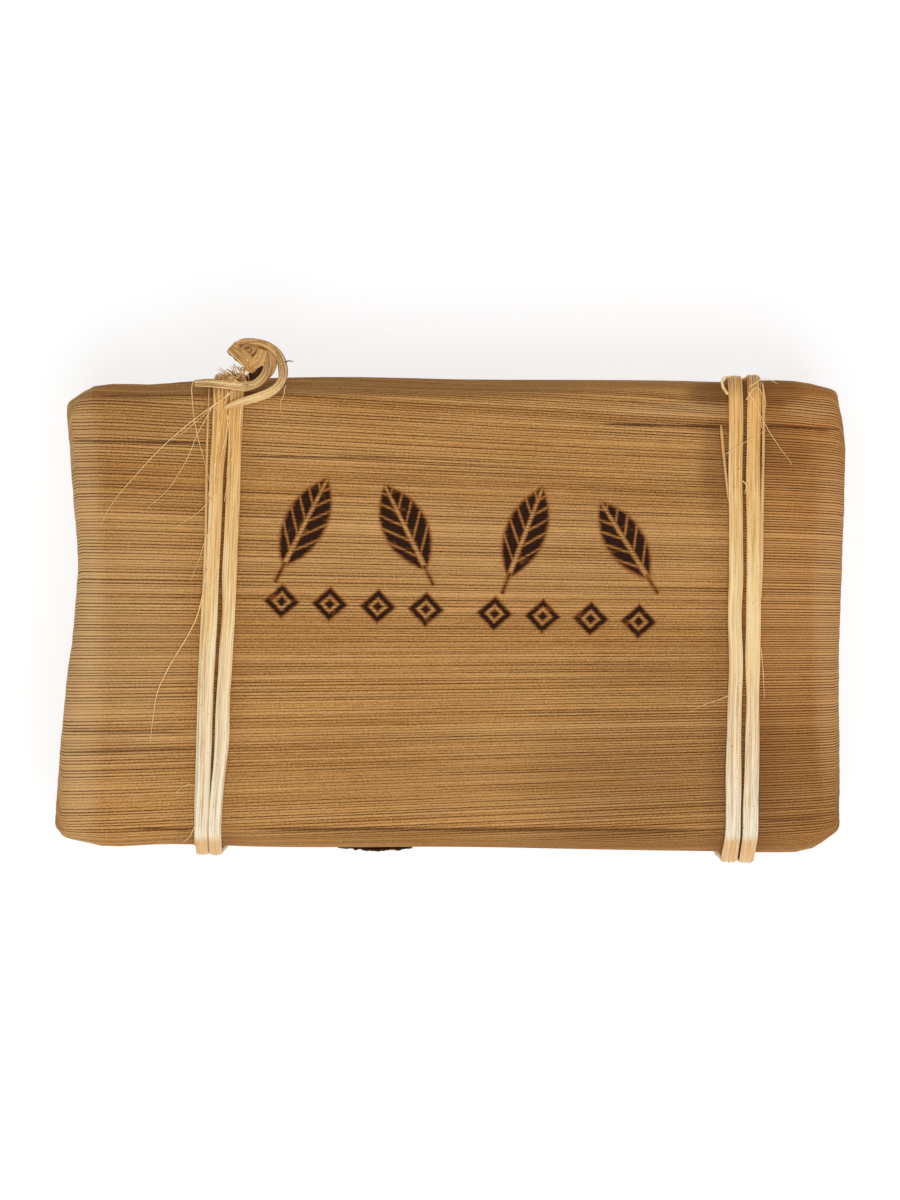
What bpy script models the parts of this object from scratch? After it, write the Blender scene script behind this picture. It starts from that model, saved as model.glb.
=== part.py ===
# Pressed tea brick in a dried bamboo sheath, tied round twice with split bamboo strip.
# Metres, +Z up. The brick lies on its back with the shown face up: +X runs along it,
# +Y points to the long side that carries the knot.
import math

import bmesh
import bpy
from mathutils import Matrix, Vector

mm = 0.001
TINY = 0.01 * mm               # smaller than any feature, for telling what lies on a plane

# Driving dimensions of the wrapped brick
HALF_LENGTH = 77.0 * mm
HALF_WIDTH = 46.0 * mm
FACE_HEIGHT = 29.0 * mm        # shown face above the ground, at its long edges
BACK_HEIGHT = 1.1 * mm         # outermost layer of the back above the ground
LAYER = 0.5 * mm               # each folded layer of sheath on the back and ends
FACE_CROWN = 0.6 * mm          # how far the middle of the face stands above its edges
END_ROLL = 4.0 * mm            # how far in from an end the sheath starts to turn over
SIDE_ROLL = 4.0 * mm           # the same for the long sides
FACE_ROLL = 4.2 * mm           # height of the turned edge at the face
BACK_ROLL = 3.0 * mm           # height of the turned edge at the back

# Ends and long edges seen from above, as (place along the edge, reach from the middle) in mm
LEFT_END = ((-42, 77.4), (-24, 76.4), (-12, 75.4), (0, 74.0), (12.5, 73.2), (24, 74.1), (42, 75.5))
RIGHT_END = ((-46, 76.5), (-7, 76.4), (9, 76.9), (24, 77.5), (37, 77.1), (44, 76.2))
TOP_EDGE = ((-77, 42.6), (-73, 44.0), (-68, 45.6), (-56, 46.1), (-22, 47.0), (5, 46.5),
            (45, 46.2), (53, 46.0), (64, 46.5), (71, 45.9), (77, 44.2))
BOTTOM_EDGE = ((-77, -43.0), (-73, -44.7), (-69, -45.7), (-55, -45.2), (-35, -45.6), (10, -46.0),
               (45, -46.5), (68, -47.0), (71, -46.5), (77, -43.2))

# Folds on the back: the long overlap, and an end flap at each end
SEAM_Y = 8.0 * mm              # free edge of the lower long flap
FLAP_WIDTH = 38.5 * mm         # half width of an end flap where it leaves the face
FLAP_TAPER = 0.2               # how fast each side of a flap runs in along the back
LEFT_FLAP_EDGE = -39.0 * mm    # free edge of the left end flap, held under its tie
RIGHT_FLAP_EDGE = 47.0 * mm
FLAP_FADE = 12.0 * mm          # height over which a layer's edge grows out of the rim
STEP_RUN = 0.25 * mm           # width of the small slope at the edge of a layer
FLAP_CUT_REACH = 9.0 * mm      # how far past a flap's free edge its slanted side cuts run on

# Ties: two strands of split bamboo side by side, as middle lines at the knot side and far side
STRIP_WIDTH = 2.85 * mm
STRIP_THICK = 0.8 * mm
STRIP_SHOULDER = 0.3 * mm      # rounding of a strip's outer edges
FACE_STEPS = 12                # spans of a strand across the face
GAP = 0.3 * mm                 # between pieces that lie on each other
SLACK = 0.9 * mm               # how far the strands stand off the far long side
BOW = 0.15 * mm                # how far a taut strip bows off a turned edge
STRANDS = {
    "left_tie_outer_strand": (-45.2 * mm, -48.9 * mm),
    "left_tie_inner_strand": (-41.9 * mm, -45.6 * mm),
    "right_tie_inner_strand": (56.1 * mm, 54.9 * mm),
    "right_tie_outer_strand": (59.6 * mm, 58.4 * mm),
}
TIE_DENT = 0.5 * mm            # how far a tie presses into the sheath
TIE_SPREAD = 7.0 * mm          # width of that dip

# Tucked ends of the right tie, lying on the back
TAIL_LENGTH = 13.0 * mm
TAIL_WIDTH = 2.6 * mm
TAIL_THICK = 0.55 * mm
TAIL_Y = 12.0 * mm
TAIL_ANGLE = math.radians(24)

# Knot of the left tie, as points in mm: two strip ends run over the strands into a twisted bud
LOOP_ROUTE = ((-44.0, 40.9, 30.5), (-41.0, 41.5, 30.5), (-37.8, 42.4, 30.4), (-35.1, 43.7, 30.3),
              (-33.3, 45.4, 30.1), (-32.3, 47.6, 29.7), (-32.2, 49.9, 29.1), (-33.3, 52.0, 28.3),
              (-35.4, 53.0, 27.6), (-38.0, 52.6, 27.1))
STUB_ROUTE = ((-50.2, 45.3, 29.8), (-47.0, 45.4, 30.2), (-43.4, 45.2, 30.3), (-39.6, 45.0, 30.2),
              (-37.2, 46.0, 29.8), (-35.8, 48.0, 29.1), (-35.8, 50.2, 28.1), (-37.6, 51.0, 27.0))
BUD_ROUTE = ((-37.6, 48.6, 24.2), (-36.6, 50.0, 25.6), (-37.6, 51.2, 26.9), (-40.0, 51.6, 27.4),
             (-42.8, 52.2, 27.6))
BUD_RADII = (0.9, 2.1, 2.7, 2.4, 1.6)
LOOP_SIZE = (1.9 * mm, 0.65 * mm)
STUB_SIZE = (1.6 * mm, 0.65 * mm)
KNOT_TILT = 0.4                # how far the strip ends tilt outwards from the knot's middle
BUD_LOBES = 3
LOBE_DEPTH = 0.1               # depth of the grooves between them, of the bud's radius
BUD_TURNS = 0.6                # how far the strips twist round each other in the bud

# Torn edge of the inner sheath, showing under the far long side
LIP_START = -22.5 * mm
LIP_LENGTH = 15.0 * mm
LIP_HEIGHT = 20.0 * mm
LIP_DEPTH = 6.0 * mm
LIP_REACH = 0.9 * mm
LIP_END_SHARE = 0.25           # reach that is left at the sliver's two ends
LIP_ROUNDNESS = 0.6            # how fast it comes out from them

SHEATH_COLOUR = (0.38, 0.21, 0.09)
INNER_COLOUR = (0.07, 0.03, 0.01)
STRIP_COLOUR = (0.80, 0.58, 0.32)
KNOT_COLOUR = (0.66, 0.42, 0.18)


def clear_scene():
    for item in list(bpy.data.objects):
        bpy.data.objects.remove(item, do_unlink=True)


def make_material(name, colour, roughness):
    material = bpy.data.materials.new(name)
    material.use_nodes = True
    shader = material.node_tree.nodes["Principled BSDF"]
    shader.inputs["Base Color"].default_value = (*colour, 1.0)
    shader.inputs["Roughness"].default_value = roughness
    shader.inputs["Metallic"].default_value = 0.0
    return material


def finish_object(name, bm, material):
    # Makes the named object from a finished bmesh, with soft shading off its sharp edges.
    bmesh.ops.recalc_face_normals(bm, faces=bm.faces)
    mesh = bpy.data.meshes.new(name)
    bm.to_mesh(mesh)
    bm.free()
    mesh.shade_smooth()
    mesh.set_sharp_from_angle(angle=math.radians(40))
    mesh.materials.append(material)
    item = bpy.data.objects.new(name, mesh)
    bpy.context.scene.collection.objects.link(item)
    return item


def edge_profile(stations, place):
    # Smooth curve through (place, reach) stations in mm that never overshoots them.
    place = place / mm
    if place <= stations[0][0]:
        return stations[0][1] * mm
    if place >= stations[-1][0]:
        return stations[-1][1] * mm
    rises = [(b[1] - a[1]) / (b[0] - a[0]) for a, b in zip(stations, stations[1:])]
    slopes = [rises[0]]
    for before, after in zip(rises, rises[1:]):
        level = before * after <= 0
        slopes.append(0.0 if level else 2 * before * after / (before + after))
    slopes.append(rises[-1])
    index = max(i for i in range(len(rises)) if stations[i][0] <= place)
    start, end = stations[index], stations[index + 1]
    run = end[0] - start[0]
    t = (place - start[0]) / run
    reach = (start[1] * (2 * t**3 - 3 * t**2 + 1) + end[1] * (3 * t**2 - 2 * t**3)
             + run * (slopes[index] * (t**3 - 2 * t**2 + t) + slopes[index + 1] * (t**3 - t**2)))
    return reach * mm


def tie_middles(y):
    # Places along X of the two ties' middle lines on the face, at a place across it.
    share = (HALF_WIDTH - y) / (2 * HALF_WIDTH)
    lines = [start + (end - start) * share for start, end in STRANDS.values()]
    return (lines[0] + lines[1]) / 2, (lines[2] + lines[3]) / 2


def tie_dip(x, y):
    return TIE_DENT * sum(math.exp(-((x - middle) / TIE_SPREAD) ** 2) for middle in tie_middles(y))


def face_height(x, y):
    crown = FACE_CROWN * (1 - (y / HALF_WIDTH) ** 2) * (1 - (x / HALF_LENGTH) ** 4)
    return FACE_HEIGHT + crown


def flap_half_width(x):
    # An end flap narrows from the end of the brick towards its free edge.
    return FLAP_WIDTH - FLAP_TAPER * (HALF_LENGTH - abs(x))


def roll_stations(low, high, roll_low, roll_high, spans):
    # Cut places along one direction: even spans between the rolls, and one cut inside each roll.
    inner_low, inner_high = low + roll_low, high - roll_high
    places = [inner_low + (inner_high - inner_low) * i / spans for i in range(spans + 1)]
    half_turn = math.tan(math.radians(22.5))
    return places + [inner_low - roll_low * half_turn, inner_high + roll_high * half_turn]


def cut_box(bm):
    # A plain box, cut along the grid that the sheath's rolls, crown and dips need.
    low = Vector((-HALF_LENGTH, -HALF_WIDTH, BACK_HEIGHT))
    high = Vector((HALF_LENGTH, HALF_WIDTH, FACE_HEIGHT))
    bmesh.ops.create_cube(bm, size=1.0)
    bmesh.ops.scale(bm, vec=high - low, verts=bm.verts)
    bmesh.ops.translate(bm, vec=(low + high) / 2, verts=bm.verts)
    near_ties = [middle + step * mm for middle in tie_middles(0) for step in (-7, -3.5, 0, 3.5, 7)]
    cuts = (
        (Vector((1, 0, 0)), roll_stations(low.x, high.x, END_ROLL, END_ROLL, 14) + near_ties),
        (Vector((0, 1, 0)), roll_stations(low.y, high.y, SIDE_ROLL, SIDE_ROLL, 12)),
        (Vector((0, 0, 1)), roll_stations(low.z, high.z, BACK_ROLL, FACE_ROLL, 3)),
    )
    for normal, places in cuts:
        for place in places:
            cut_faces(bm, normal * place, normal, lambda face: True)


def cut_faces(bm, point, normal, wanted):
    faces = [face for face in bm.faces if wanted(face)]
    edges = {edge for face in faces for edge in face.edges}
    corners = {vert for face in faces for vert in face.verts}
    geometry = faces + list(edges) + list(corners)
    bmesh.ops.bisect_plane(bm, geom=geometry, dist=1e-6, plane_co=point, plane_no=normal)


def cut_flap_edges(bm):
    # Pairs of close cuts where a folded layer ends, so that its step is crisp.
    def on_back(face):
        return face.normal.z < -0.5

    for step in (0.0, STEP_RUN):
        seam = Vector((0, SEAM_Y + step, 0))
        cut_faces(bm, seam, Vector((0, 1, 0)), on_back)
        for end, free_edge in ((-1, LEFT_FLAP_EDGE), (1, RIGHT_FLAP_EDGE)):
            def on_flap_side(face):
                reach = face.calc_center_median().x * end
                at_end = face.normal.x * end > 0.5
                return at_end or (on_back(face) and reach > abs(free_edge) - FLAP_CUT_REACH)

            edge = Vector((free_edge - end * step, 0, 0))
            cut_faces(bm, edge, Vector((1, 0, 0)), on_back)
            for side in (-1, 1):
                corner = Vector((end * HALF_LENGTH, side * (FLAP_WIDTH + step), 0))
                cut_faces(bm, corner, Vector((end * FLAP_TAPER, -side, 0)), on_flap_side)


def layer_recess(point):
    # How far a point of the plain box lies below the outermost folded layer.
    free_edge = RIGHT_FLAP_EDGE if point.x > 0 else LEFT_FLAP_EDGE
    past_edge = abs(point.x) >= abs(free_edge) - TINY
    inside = abs(point.y) <= flap_half_width(point.x) + TINY
    on_end = abs(point.x) > HALF_LENGTH - TINY
    on_back = point.z < BACK_HEIGHT + TINY
    if past_edge and inside and (on_end or on_back):
        return 0.0
    if on_end:
        return 2 * LAYER * min(1.0, (FACE_HEIGHT - point.z) / FLAP_FADE)
    layers = 1 if point.y <= SEAM_Y + TINY else 2
    return layers * LAYER * max(0.0, 1 - (point.z - BACK_HEIGHT) / FLAP_FADE)


def roll_over(point):
    # Turns the plain box's edges over, and gives the outward direction there.
    low = Vector((-HALF_LENGTH + END_ROLL, -HALF_WIDTH + SIDE_ROLL, BACK_HEIGHT + BACK_ROLL))
    high = Vector((HALF_LENGTH - END_ROLL, HALF_WIDTH - SIDE_ROLL, FACE_HEIGHT - FACE_ROLL))
    core = Vector([min(max(value, a), b) for value, a, b in zip(point, low, high)])
    rise = FACE_ROLL if point.z > core.z else BACK_ROLL
    rolls = Vector((END_ROLL, SIDE_ROLL, rise))
    offset = Vector([(a - b) / roll for a, b, roll in zip(point, core, rolls)])
    across = (offset.x**4 + offset.y**4) ** 0.25
    length = math.hypot(across, offset.z)
    outward = Vector([value / roll for value, roll in zip(offset, rolls)]).normalized()
    turned = core + Vector([value * roll for value, roll in zip(offset, rolls)]) / length
    return turned, outward


def sheath_point(point):
    # Carries a point of the plain box to the wrapped brick's real surface.
    turned, outward = roll_over(point)
    turned -= outward * layer_recess(point)
    end = RIGHT_END if turned.x > 0 else LEFT_END
    x = turned.x * edge_profile(end, turned.y) / HALF_LENGTH
    top, bottom = edge_profile(TOP_EDGE, x), edge_profile(BOTTOM_EDGE, x)
    y = bottom + (top - bottom) * (turned.y + HALF_WIDTH) / (2 * HALF_WIDTH)
    upper = (turned.z - BACK_HEIGHT) / (FACE_HEIGHT - BACK_HEIGHT)
    z = turned.z + (face_height(x, y) - FACE_HEIGHT) * max(0.0, upper)
    dip = tie_dip(x, y) * max(0.0, outward.z)
    return Vector((x, y, z)) - outward * dip


def make_sheath():
    bm = bmesh.new()
    cut_box(bm)
    cut_flap_edges(bm)
    places = [sheath_point(vert.co) for vert in bm.verts]
    for vert, place in zip(bm.verts, places):
        vert.co = place
    bmesh.ops.triangulate(bm, faces=bm.faces)
    return finish_object("sheath_wrap", bm, make_material("sheath", SHEATH_COLOUR, 0.6))


def strip_section(width, thick, shoulder):
    # Half-round-edged strip, flat on its outer side; u runs across it and v outwards.
    u, v = width / 2, thick / 2
    return ((-u, -v), (u, -v), (u, v - shoulder), (u - shoulder, v), (shoulder - u, v),
            (-u, v - shoulder))


def sweep(frames, section, closed):
    # Extrudes a section along a row of frames; a closed one is joined to its own start.
    bm = bmesh.new()
    first = bm.faces.new([bm.verts.new(frames[0] @ Vector((u, v, 0))) for u, v in section])
    end = first
    inside = []
    for frame in frames[1:]:
        made = bmesh.ops.extrude_face_region(bm, geom=[end])["geom"]
        if end is not first:
            inside.append(end)
        end = next(item for item in made if isinstance(item, bmesh.types.BMFace))
        for vert, (u, v) in zip(end.verts, section):
            vert.co = frame @ Vector((u, v, 0))
    bmesh.ops.delete(bm, geom=inside, context="FACES_ONLY")
    if closed:
        rims = [edge for cap in (first, end) for edge in cap.edges]
        bmesh.ops.delete(bm, geom=[first, end], context="FACES_ONLY")
        bmesh.ops.bridge_loops(bm, edges=rims)
    return bm


def make_frames(places, outwards, closed, sizes=None, turns=0.0):
    # One frame for each place: X across the strip, Y outwards, Z along it.
    frames = []
    last = len(places) - 1
    for index, (place, outward) in enumerate(zip(places, outwards)):
        before = places[index - 1] if closed or index > 0 else place
        after = places[(index + 1) % len(places)] if closed or index < last else place
        along = (after - before).normalized()
        up = (outward - along * outward.dot(along)).normalized()
        across = up.cross(along)
        turn = Matrix.Rotation(turns * 2 * math.pi * index / last, 4, "Z")
        size = Matrix.Scale(sizes[index] if sizes else 1.0, 4)
        basis = Matrix((across, up, along)).transposed().to_4x4()
        frames.append(Matrix.Translation(place) @ basis @ turn @ size)
    return frames


def arc_points(centre, radius, start, end, steps):
    # Points of an arc in the YZ plane with their outward directions, angles from +Y to +Z.
    points = []
    for index in range(steps + 1):
        angle = math.radians(start + (end - start) * index / steps)
        outward = Vector((0, math.cos(angle), math.sin(angle)))
        points.append((centre + outward * radius, outward))
    return points


def girth_loop(x_knot, x_far):
    # Middle line of one strand round the brick: face, far side, back, knot side.
    stand_off = GAP + STRIP_THICK / 2
    knot_y = edge_profile(TOP_EDGE, x_knot) + stand_off
    far_y = edge_profile(BOTTOM_EDGE, x_far) - stand_off - SLACK
    face_turn = FACE_ROLL + stand_off
    back_turn = BACK_ROLL + stand_off
    face_z = FACE_HEIGHT - TIE_DENT + stand_off + BOW - face_turn
    back_z = STRIP_THICK / 2 + back_turn
    knot_turn = knot_y - face_turn
    far_turn = far_y + face_turn
    line = []
    for index in range(1, FACE_STEPS):
        share = index / FACE_STEPS
        x = x_knot + (x_far - x_knot) * share
        y = knot_turn + (far_turn - knot_turn) * share
        z = face_height(x, y) - tie_dip(x, y) + stand_off
        line.append((Vector((x, y, z)), Vector((0, 0, 1))))
    line += arc_points(Vector((0, far_turn, face_z)), face_turn, 90, 180, 5)
    line += arc_points(Vector((0, far_y + back_turn, back_z)), back_turn, 180, 270, 4)
    line += arc_points(Vector((0, knot_y - back_turn, back_z)), back_turn, 270, 360, 4)
    line += arc_points(Vector((0, knot_turn, face_z)), face_turn, 0, 90, 5)
    return [(lean(place, x_knot, x_far, knot_turn, far_turn), out) for place, out in line]


def lean(place, x_knot, x_far, knot_turn, far_turn):
    # A strand runs across the brick at a slant, and straight down its two long sides.
    share = (knot_turn - place.y) / (knot_turn - far_turn)
    share = min(1.0, max(0.0, share))
    return Vector((x_knot + (x_far - x_knot) * share, place.y, place.z))


def make_strands(material):
    section = strip_section(STRIP_WIDTH, STRIP_THICK, STRIP_SHOULDER)
    made = []
    for name, (x_knot, x_far) in STRANDS.items():
        line = girth_loop(x_knot, x_far)
        frames = make_frames([place for place, out in line], [out for place, out in line], True)
        made.append(finish_object(name, sweep(frames, section, True), material))
    return made


def make_tails(material):
    # The right tie's two ends lie flat on the back, in line, as if one strip passed underneath.
    section = strip_section(TAIL_WIDTH, TAIL_THICK, STRIP_SHOULDER / 2)
    middle = Vector((tie_middles(TAIL_Y)[1], TAIL_Y, STRIP_THICK - TAIL_THICK / 2))
    along = Vector((math.cos(TAIL_ANGLE), math.sin(TAIL_ANGLE), 0))
    half_tie = STRIP_WIDTH + 1.5 * GAP
    clear = half_tie / math.cos(TAIL_ANGLE) + TAIL_WIDTH / 2 * math.tan(TAIL_ANGLE)
    made = []
    for side, name in ((-1, "right_tie_inner_tail"), (1, "right_tie_outer_tail")):
        start = middle + along * side * (clear + GAP)
        places = [start + along * side * TAIL_LENGTH * step / 3 for step in range(4)]
        frames = make_frames(places, [Vector((0, 0, -1))] * 4, False)
        made.append(finish_object(name, sweep(frames, section, False), material))
    return made


def route_points(points, steps):
    # Places on a smooth curve through the named points, in metres.
    knots = [Vector(point) * mm for point in points]
    knots = [knots[0] * 2 - knots[1], *knots, knots[-1] * 2 - knots[-2]]
    places = []
    for a, b, c, d in zip(knots, knots[1:], knots[2:], knots[3:]):
        for step in range(steps):
            t = step / steps
            place = (b * 2 + (c - a) * t + (a * 2 - b * 5 + c * 4 - d) * t**2
                     + (b * 3 - a - c * 3 + d) * t**3) / 2
            places.append(place)
    return places + [knots[-2]]


def knot_strip(name, route, size, material):
    # A strip end seen on its broad side, tilted outwards from the middle of the knot.
    places = route_points(route, 3)
    middle = sum(places, Vector()) / len(places)
    outwards = [Vector((0, 0, 1)) + (place - middle).normalized() * KNOT_TILT for place in places]
    section = strip_section(*size, STRIP_SHOULDER / 2)
    return finish_object(name, sweep(make_frames(places, outwards, False), section, False), material)


def lobed_section(points):
    # Round section of unit radius with soft lobes, one for each strip in the twist.
    section = []
    for index in range(points):
        angle = 2 * math.pi * index / points
        radius = 1 + LOBE_DEPTH * math.cos(BUD_LOBES * angle)
        section.append((radius * math.cos(angle), radius * math.sin(angle)))
    return section


def make_knot(material):
    # Twisted bud with the two strip ends joined on.
    places = route_points(BUD_ROUTE, 3)
    radii = [point.x for point in route_points([(radius, 0, 0) for radius in BUD_RADII], 3)]
    frames = make_frames(places, [Vector((0, 0, 1))] * len(places), False, radii, BUD_TURNS)
    bud = finish_object("left_tie_knot", sweep(frames, lobed_section(15), False), material)
    for name, route, size in (("knot_loop_guide", LOOP_ROUTE, LOOP_SIZE),
                              ("knot_stub_guide", STUB_ROUTE, STUB_SIZE)):
        guide = knot_strip(name, route, size, material)
        guide.hide_render = True
        guide.display_type = "WIRE"
        joined = bud.modifiers.new(name, "BOOLEAN")
        joined.operation = "UNION"
        joined.solver = "EXACT"
        joined.object = guide
    return bud


def make_lip():
    # Thin torn sliver of the inner sheath, standing out a little from the far long side.
    steps = 10
    upright = Matrix(((0, 0, 1), (1, 0, 0), (0, 1, 0))).to_4x4()
    frames = []
    for index in range(steps + 1):
        share = index / steps
        x = LIP_START + LIP_LENGTH * share
        place = Vector((x, edge_profile(BOTTOM_EDGE, x) - GAP, LIP_HEIGHT))
        swell = max(0.0, math.sin(math.pi * share)) ** LIP_ROUNDNESS
        reach = LIP_END_SHARE + (1 - LIP_END_SHARE) * swell
        frames.append(Matrix.Translation(place) @ Matrix.Diagonal((1, reach, 1, 1)) @ upright)
    section = ((0, -LIP_DEPTH), (-LAYER, -LIP_DEPTH), (-LIP_REACH, 0), (LAYER / 2 - LIP_REACH, 0.2 * mm))
    material = make_material("inner_sheath", INNER_COLOUR, 0.8)
    return finish_object("inner_sheath_lip", sweep(frames, section, False), material)


def stand_on_origin(items):
    # Moves everything together, so that the origin is under the middle of the whole.
    bpy.context.view_layer.update()
    corners = [item.matrix_world @ Vector(corner) for item in items for corner in item.bound_box]
    low = Vector([min(corner[axis] for corner in corners) for axis in range(3)])
    high = Vector([max(corner[axis] for corner in corners) for axis in range(3)])
    base = bpy.data.objects.new("brick_base", None)
    bpy.context.scene.collection.objects.link(base)
    base.location = (-(low.x + high.x) / 2, -(low.y + high.y) / 2, -low.z)
    for item in bpy.context.scene.objects:
        if item.type == "MESH":
            item.parent = base
    bpy.context.view_layer.update()


def main():
    clear_scene()
    strip_material = make_material("split_bamboo", STRIP_COLOUR, 0.5)
    knot_material = make_material("twisted_bamboo", KNOT_COLOUR, 0.5)
    items = [make_sheath(), make_lip()]
    items += make_strands(strip_material)
    items += make_tails(strip_material)
    items.append(make_knot(knot_material))
    stand_on_origin(items)


main()
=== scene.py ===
import math

import bmesh
import bpy
import numpy as np
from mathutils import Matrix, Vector


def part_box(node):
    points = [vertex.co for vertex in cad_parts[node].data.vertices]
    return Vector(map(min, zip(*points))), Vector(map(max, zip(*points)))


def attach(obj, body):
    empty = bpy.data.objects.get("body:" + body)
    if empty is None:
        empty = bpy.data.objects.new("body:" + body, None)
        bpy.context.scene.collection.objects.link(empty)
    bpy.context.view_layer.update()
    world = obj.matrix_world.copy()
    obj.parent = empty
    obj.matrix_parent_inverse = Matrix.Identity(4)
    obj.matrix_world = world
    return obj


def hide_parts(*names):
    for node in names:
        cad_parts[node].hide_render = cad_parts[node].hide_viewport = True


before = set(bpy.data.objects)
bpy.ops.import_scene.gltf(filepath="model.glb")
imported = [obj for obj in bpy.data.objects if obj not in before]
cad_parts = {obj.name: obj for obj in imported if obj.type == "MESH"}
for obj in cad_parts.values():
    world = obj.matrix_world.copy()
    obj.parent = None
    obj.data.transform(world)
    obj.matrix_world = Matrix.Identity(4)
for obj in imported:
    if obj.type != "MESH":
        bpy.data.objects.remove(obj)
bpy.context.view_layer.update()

# Pressed tea brick in a dried bamboo sheath, tied twice with split bamboo strip.
# Lengths are in mm from the brick's own middle, and toFrame carries them to the frame in metres.
mm = 0.001

photo = {"frame": (900, 1200), "middle": (450.5, 615.0), "pixel": 0.1965}
brick = {
    "halfLength": 77.0, "halfWidth": 46.0, "faceHeight": 29.0, "backHeight": 1.1, "crown": 0.6,
    "endRoll": 4.0, "sideRoll": 4.0, "faceRoll": 4.2, "backRoll": 3.0, "layer": 0.5,
    # how far the outline reaches, as (place along the edge, reach)
    "leftEnd": ((-44, 78.2), (-40, 77.9), (-24, 76.7), (-12, 75.7), (0, 74.3), (12.5, 73.5), (24, 74.4),
                (42, 75.8)),
    "rightEnd": ((-46, 76.9), (-7, 76.8), (9, 77.2), (24, 77.8), (34, 77.9), (38, 77.6), (44, 76.6)),
    "topEdge": ((-77, 41.5), (-75.1, 42.4), (-69.3, 45.5), (-65.3, 45.7), (-60.4, 45.5), (-50.2, 46.2),
                (-22, 47.0), (5, 46.5), (45, 46.2), (53, 46.0), (64, 46.4), (68.7, 46.2), (73.1, 45.2),
                (75.6, 44.5), (77, 43.6)),
    "bottomEdge": ((-77.6, -42.6), (-76.4, -43.9), (-71.0, -45.2), (-67.5, -45.8), (-55, -45.2),
                   (-35, -45.6), (10, -46.0), (45, -46.5), (66, -47.0), (69.3, -46.8), (76.3, -42.9),
                   (77, -42.3)),
}
modelled = {"strandMiddle": 59.0, "topReach": 47.0}
# each strand's x at the knot side and at the far side
ties = {
    "left_tie_outer_strand": (-45.2, -48.9), "left_tie_inner_strand": (-41.9, -45.6),
    "right_tie_inner_strand": (56.1, 54.9), "right_tie_outer_strand": (59.6, 58.4),
}
tieForm = {"dent": 0.5, "spread": 7.0, "width": 2.75, "thick": 0.8, "gap": 0.3, "slack": 0.9, "bow": 0.15}


def frameShift():
    # where the brick's own middle lies in the frame, read off one strand and the wrap
    low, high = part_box("right_tie_outer_strand")
    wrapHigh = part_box("sheath_wrap")[1]
    strandMiddle = (low.x + high.x) / 2 / mm
    return np.array((strandMiddle - modelled["strandMiddle"], wrapHigh.y / mm - modelled["topReach"], 0.0))


shift = frameShift()


def toFrame(points):
    return (np.asarray(points, float) + shift) * mm


def atPixel(px, py):
    # a place on the face plane from one in the photograph's frame
    return (px - photo["middle"][0]) * photo["pixel"], (photo["middle"][1] - py) * photo["pixel"]


# Finding places on the wrapped brick

def smooth(low, high, value):
    share = np.clip((value - low) / (high - low), 0, 1)
    return share * share * (3 - 2 * share)


def edgeReach(stations, place):
    # smooth curve through (place, reach) stations that never overshoots them
    xs, ys = np.array(stations, float).T
    rises = np.diff(ys) / np.diff(xs)
    before, after = rises[:-1], rises[1:]
    same = before * after > 0
    middle = np.where(same, 2 * before * after / np.where(same, before + after, 1), 0)
    slopes = np.concatenate(([rises[0]], middle, [rises[-1]]))
    place = np.clip(place, xs[0], xs[-1])
    index = np.clip(np.searchsorted(xs, place, side="right") - 1, 0, len(rises) - 1)
    run = xs[index + 1] - xs[index]
    t = (place - xs[index]) / run
    return (ys[index] * (2 * t**3 - 3 * t**2 + 1) + ys[index + 1] * (3 * t**2 - 2 * t**3)
            + run * (slopes[index] * (t**3 - 2 * t**2 + t) + slopes[index + 1] * (t**3 - t**2)))


def endReach(x, y):
    return np.where(x > 0, edgeReach(brick["rightEnd"], y), edgeReach(brick["leftEnd"], y))


def sideReaches(x):
    return edgeReach(brick["topEdge"], x), edgeReach(brick["bottomEdge"], x)


def tieLines(y):
    # each strand's x at a place across the face
    share = (brick["halfWidth"] - y) / (2 * brick["halfWidth"])
    return [start + (end - start) * share for start, end in ties.values()]


def tieMiddles(y):
    lines = tieLines(y)
    return (lines[0] + lines[1]) / 2, (lines[2] + lines[3]) / 2


def tieDip(x, y):
    return tieForm["dent"] * sum(np.exp(-((x - m) / tieForm["spread"]) ** 2) for m in tieMiddles(y))


def crownRise(x, y):
    return brick["crown"] * (1 - (y / brick["halfWidth"]) ** 2) * (1 - (x / brick["halfLength"]) ** 4)


def faceTop(x, y):
    return brick["faceHeight"] + crownRise(x, y) - tieDip(x, y)


# Folds and creases on the face: from (x, y) to (x, y), half width, height of the lit side
creases = (
    ((-75.5, 34.6), (-47.0, 34.0), 0.55, 0.11),
    ((-72.0, 43.2), (-48.0, 43.4), 0.4, 0.06),
    ((-40.0, 31.4), (-8.0, 31.0), 0.4, 0.07),
    ((30.0, 37.8), (54.0, 37.2), 0.5, 0.12),
    ((33.0, 42.6), (52.5, 39.6), 0.35, 0.04),
    ((38.0, 43.6), (52.5, 41.4), 0.35, 0.05),
    ((61.0, 37.5), (76.8, 36.7), 0.5, 0.20),
    ((-76.0, -22.4), (-51.0, -22.8), 0.7, 0.06),
    ((-76.0, -26.6), (-50.0, -25.8), 0.8, 0.05),
    ((-62.0, -41.6), (-51.0, -42.0), 0.6, 0.10),
    ((-40.0, -41.6), (50.0, -41.8), 0.9, 0.07),
    ((62.0, -40.2), (73.0, -39.8), 0.5, 0.05),
)

# Swells and dents beside the ties: (x, y), (half length, half width), height
swells = (
    ((69.0, 40.3), (9.0, 3.4), 0.55), ((63.3, 42.4), (3.2, 2.3), -0.75), ((50.5, 43.8), (6.5, 1.7), -0.55),
    ((43.0, 40.3), (15.0, 2.5), 0.3), ((74.6, 38.0), (2.2, 1.4), 0.3), ((72.5, 32.0), (2.5, 6.0), 0.25),
    ((64.0, 33.0), (3.5, 5.0), -0.25), ((-62.0, 38.5), (9.0, 3.0), 0.15),
)


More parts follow.
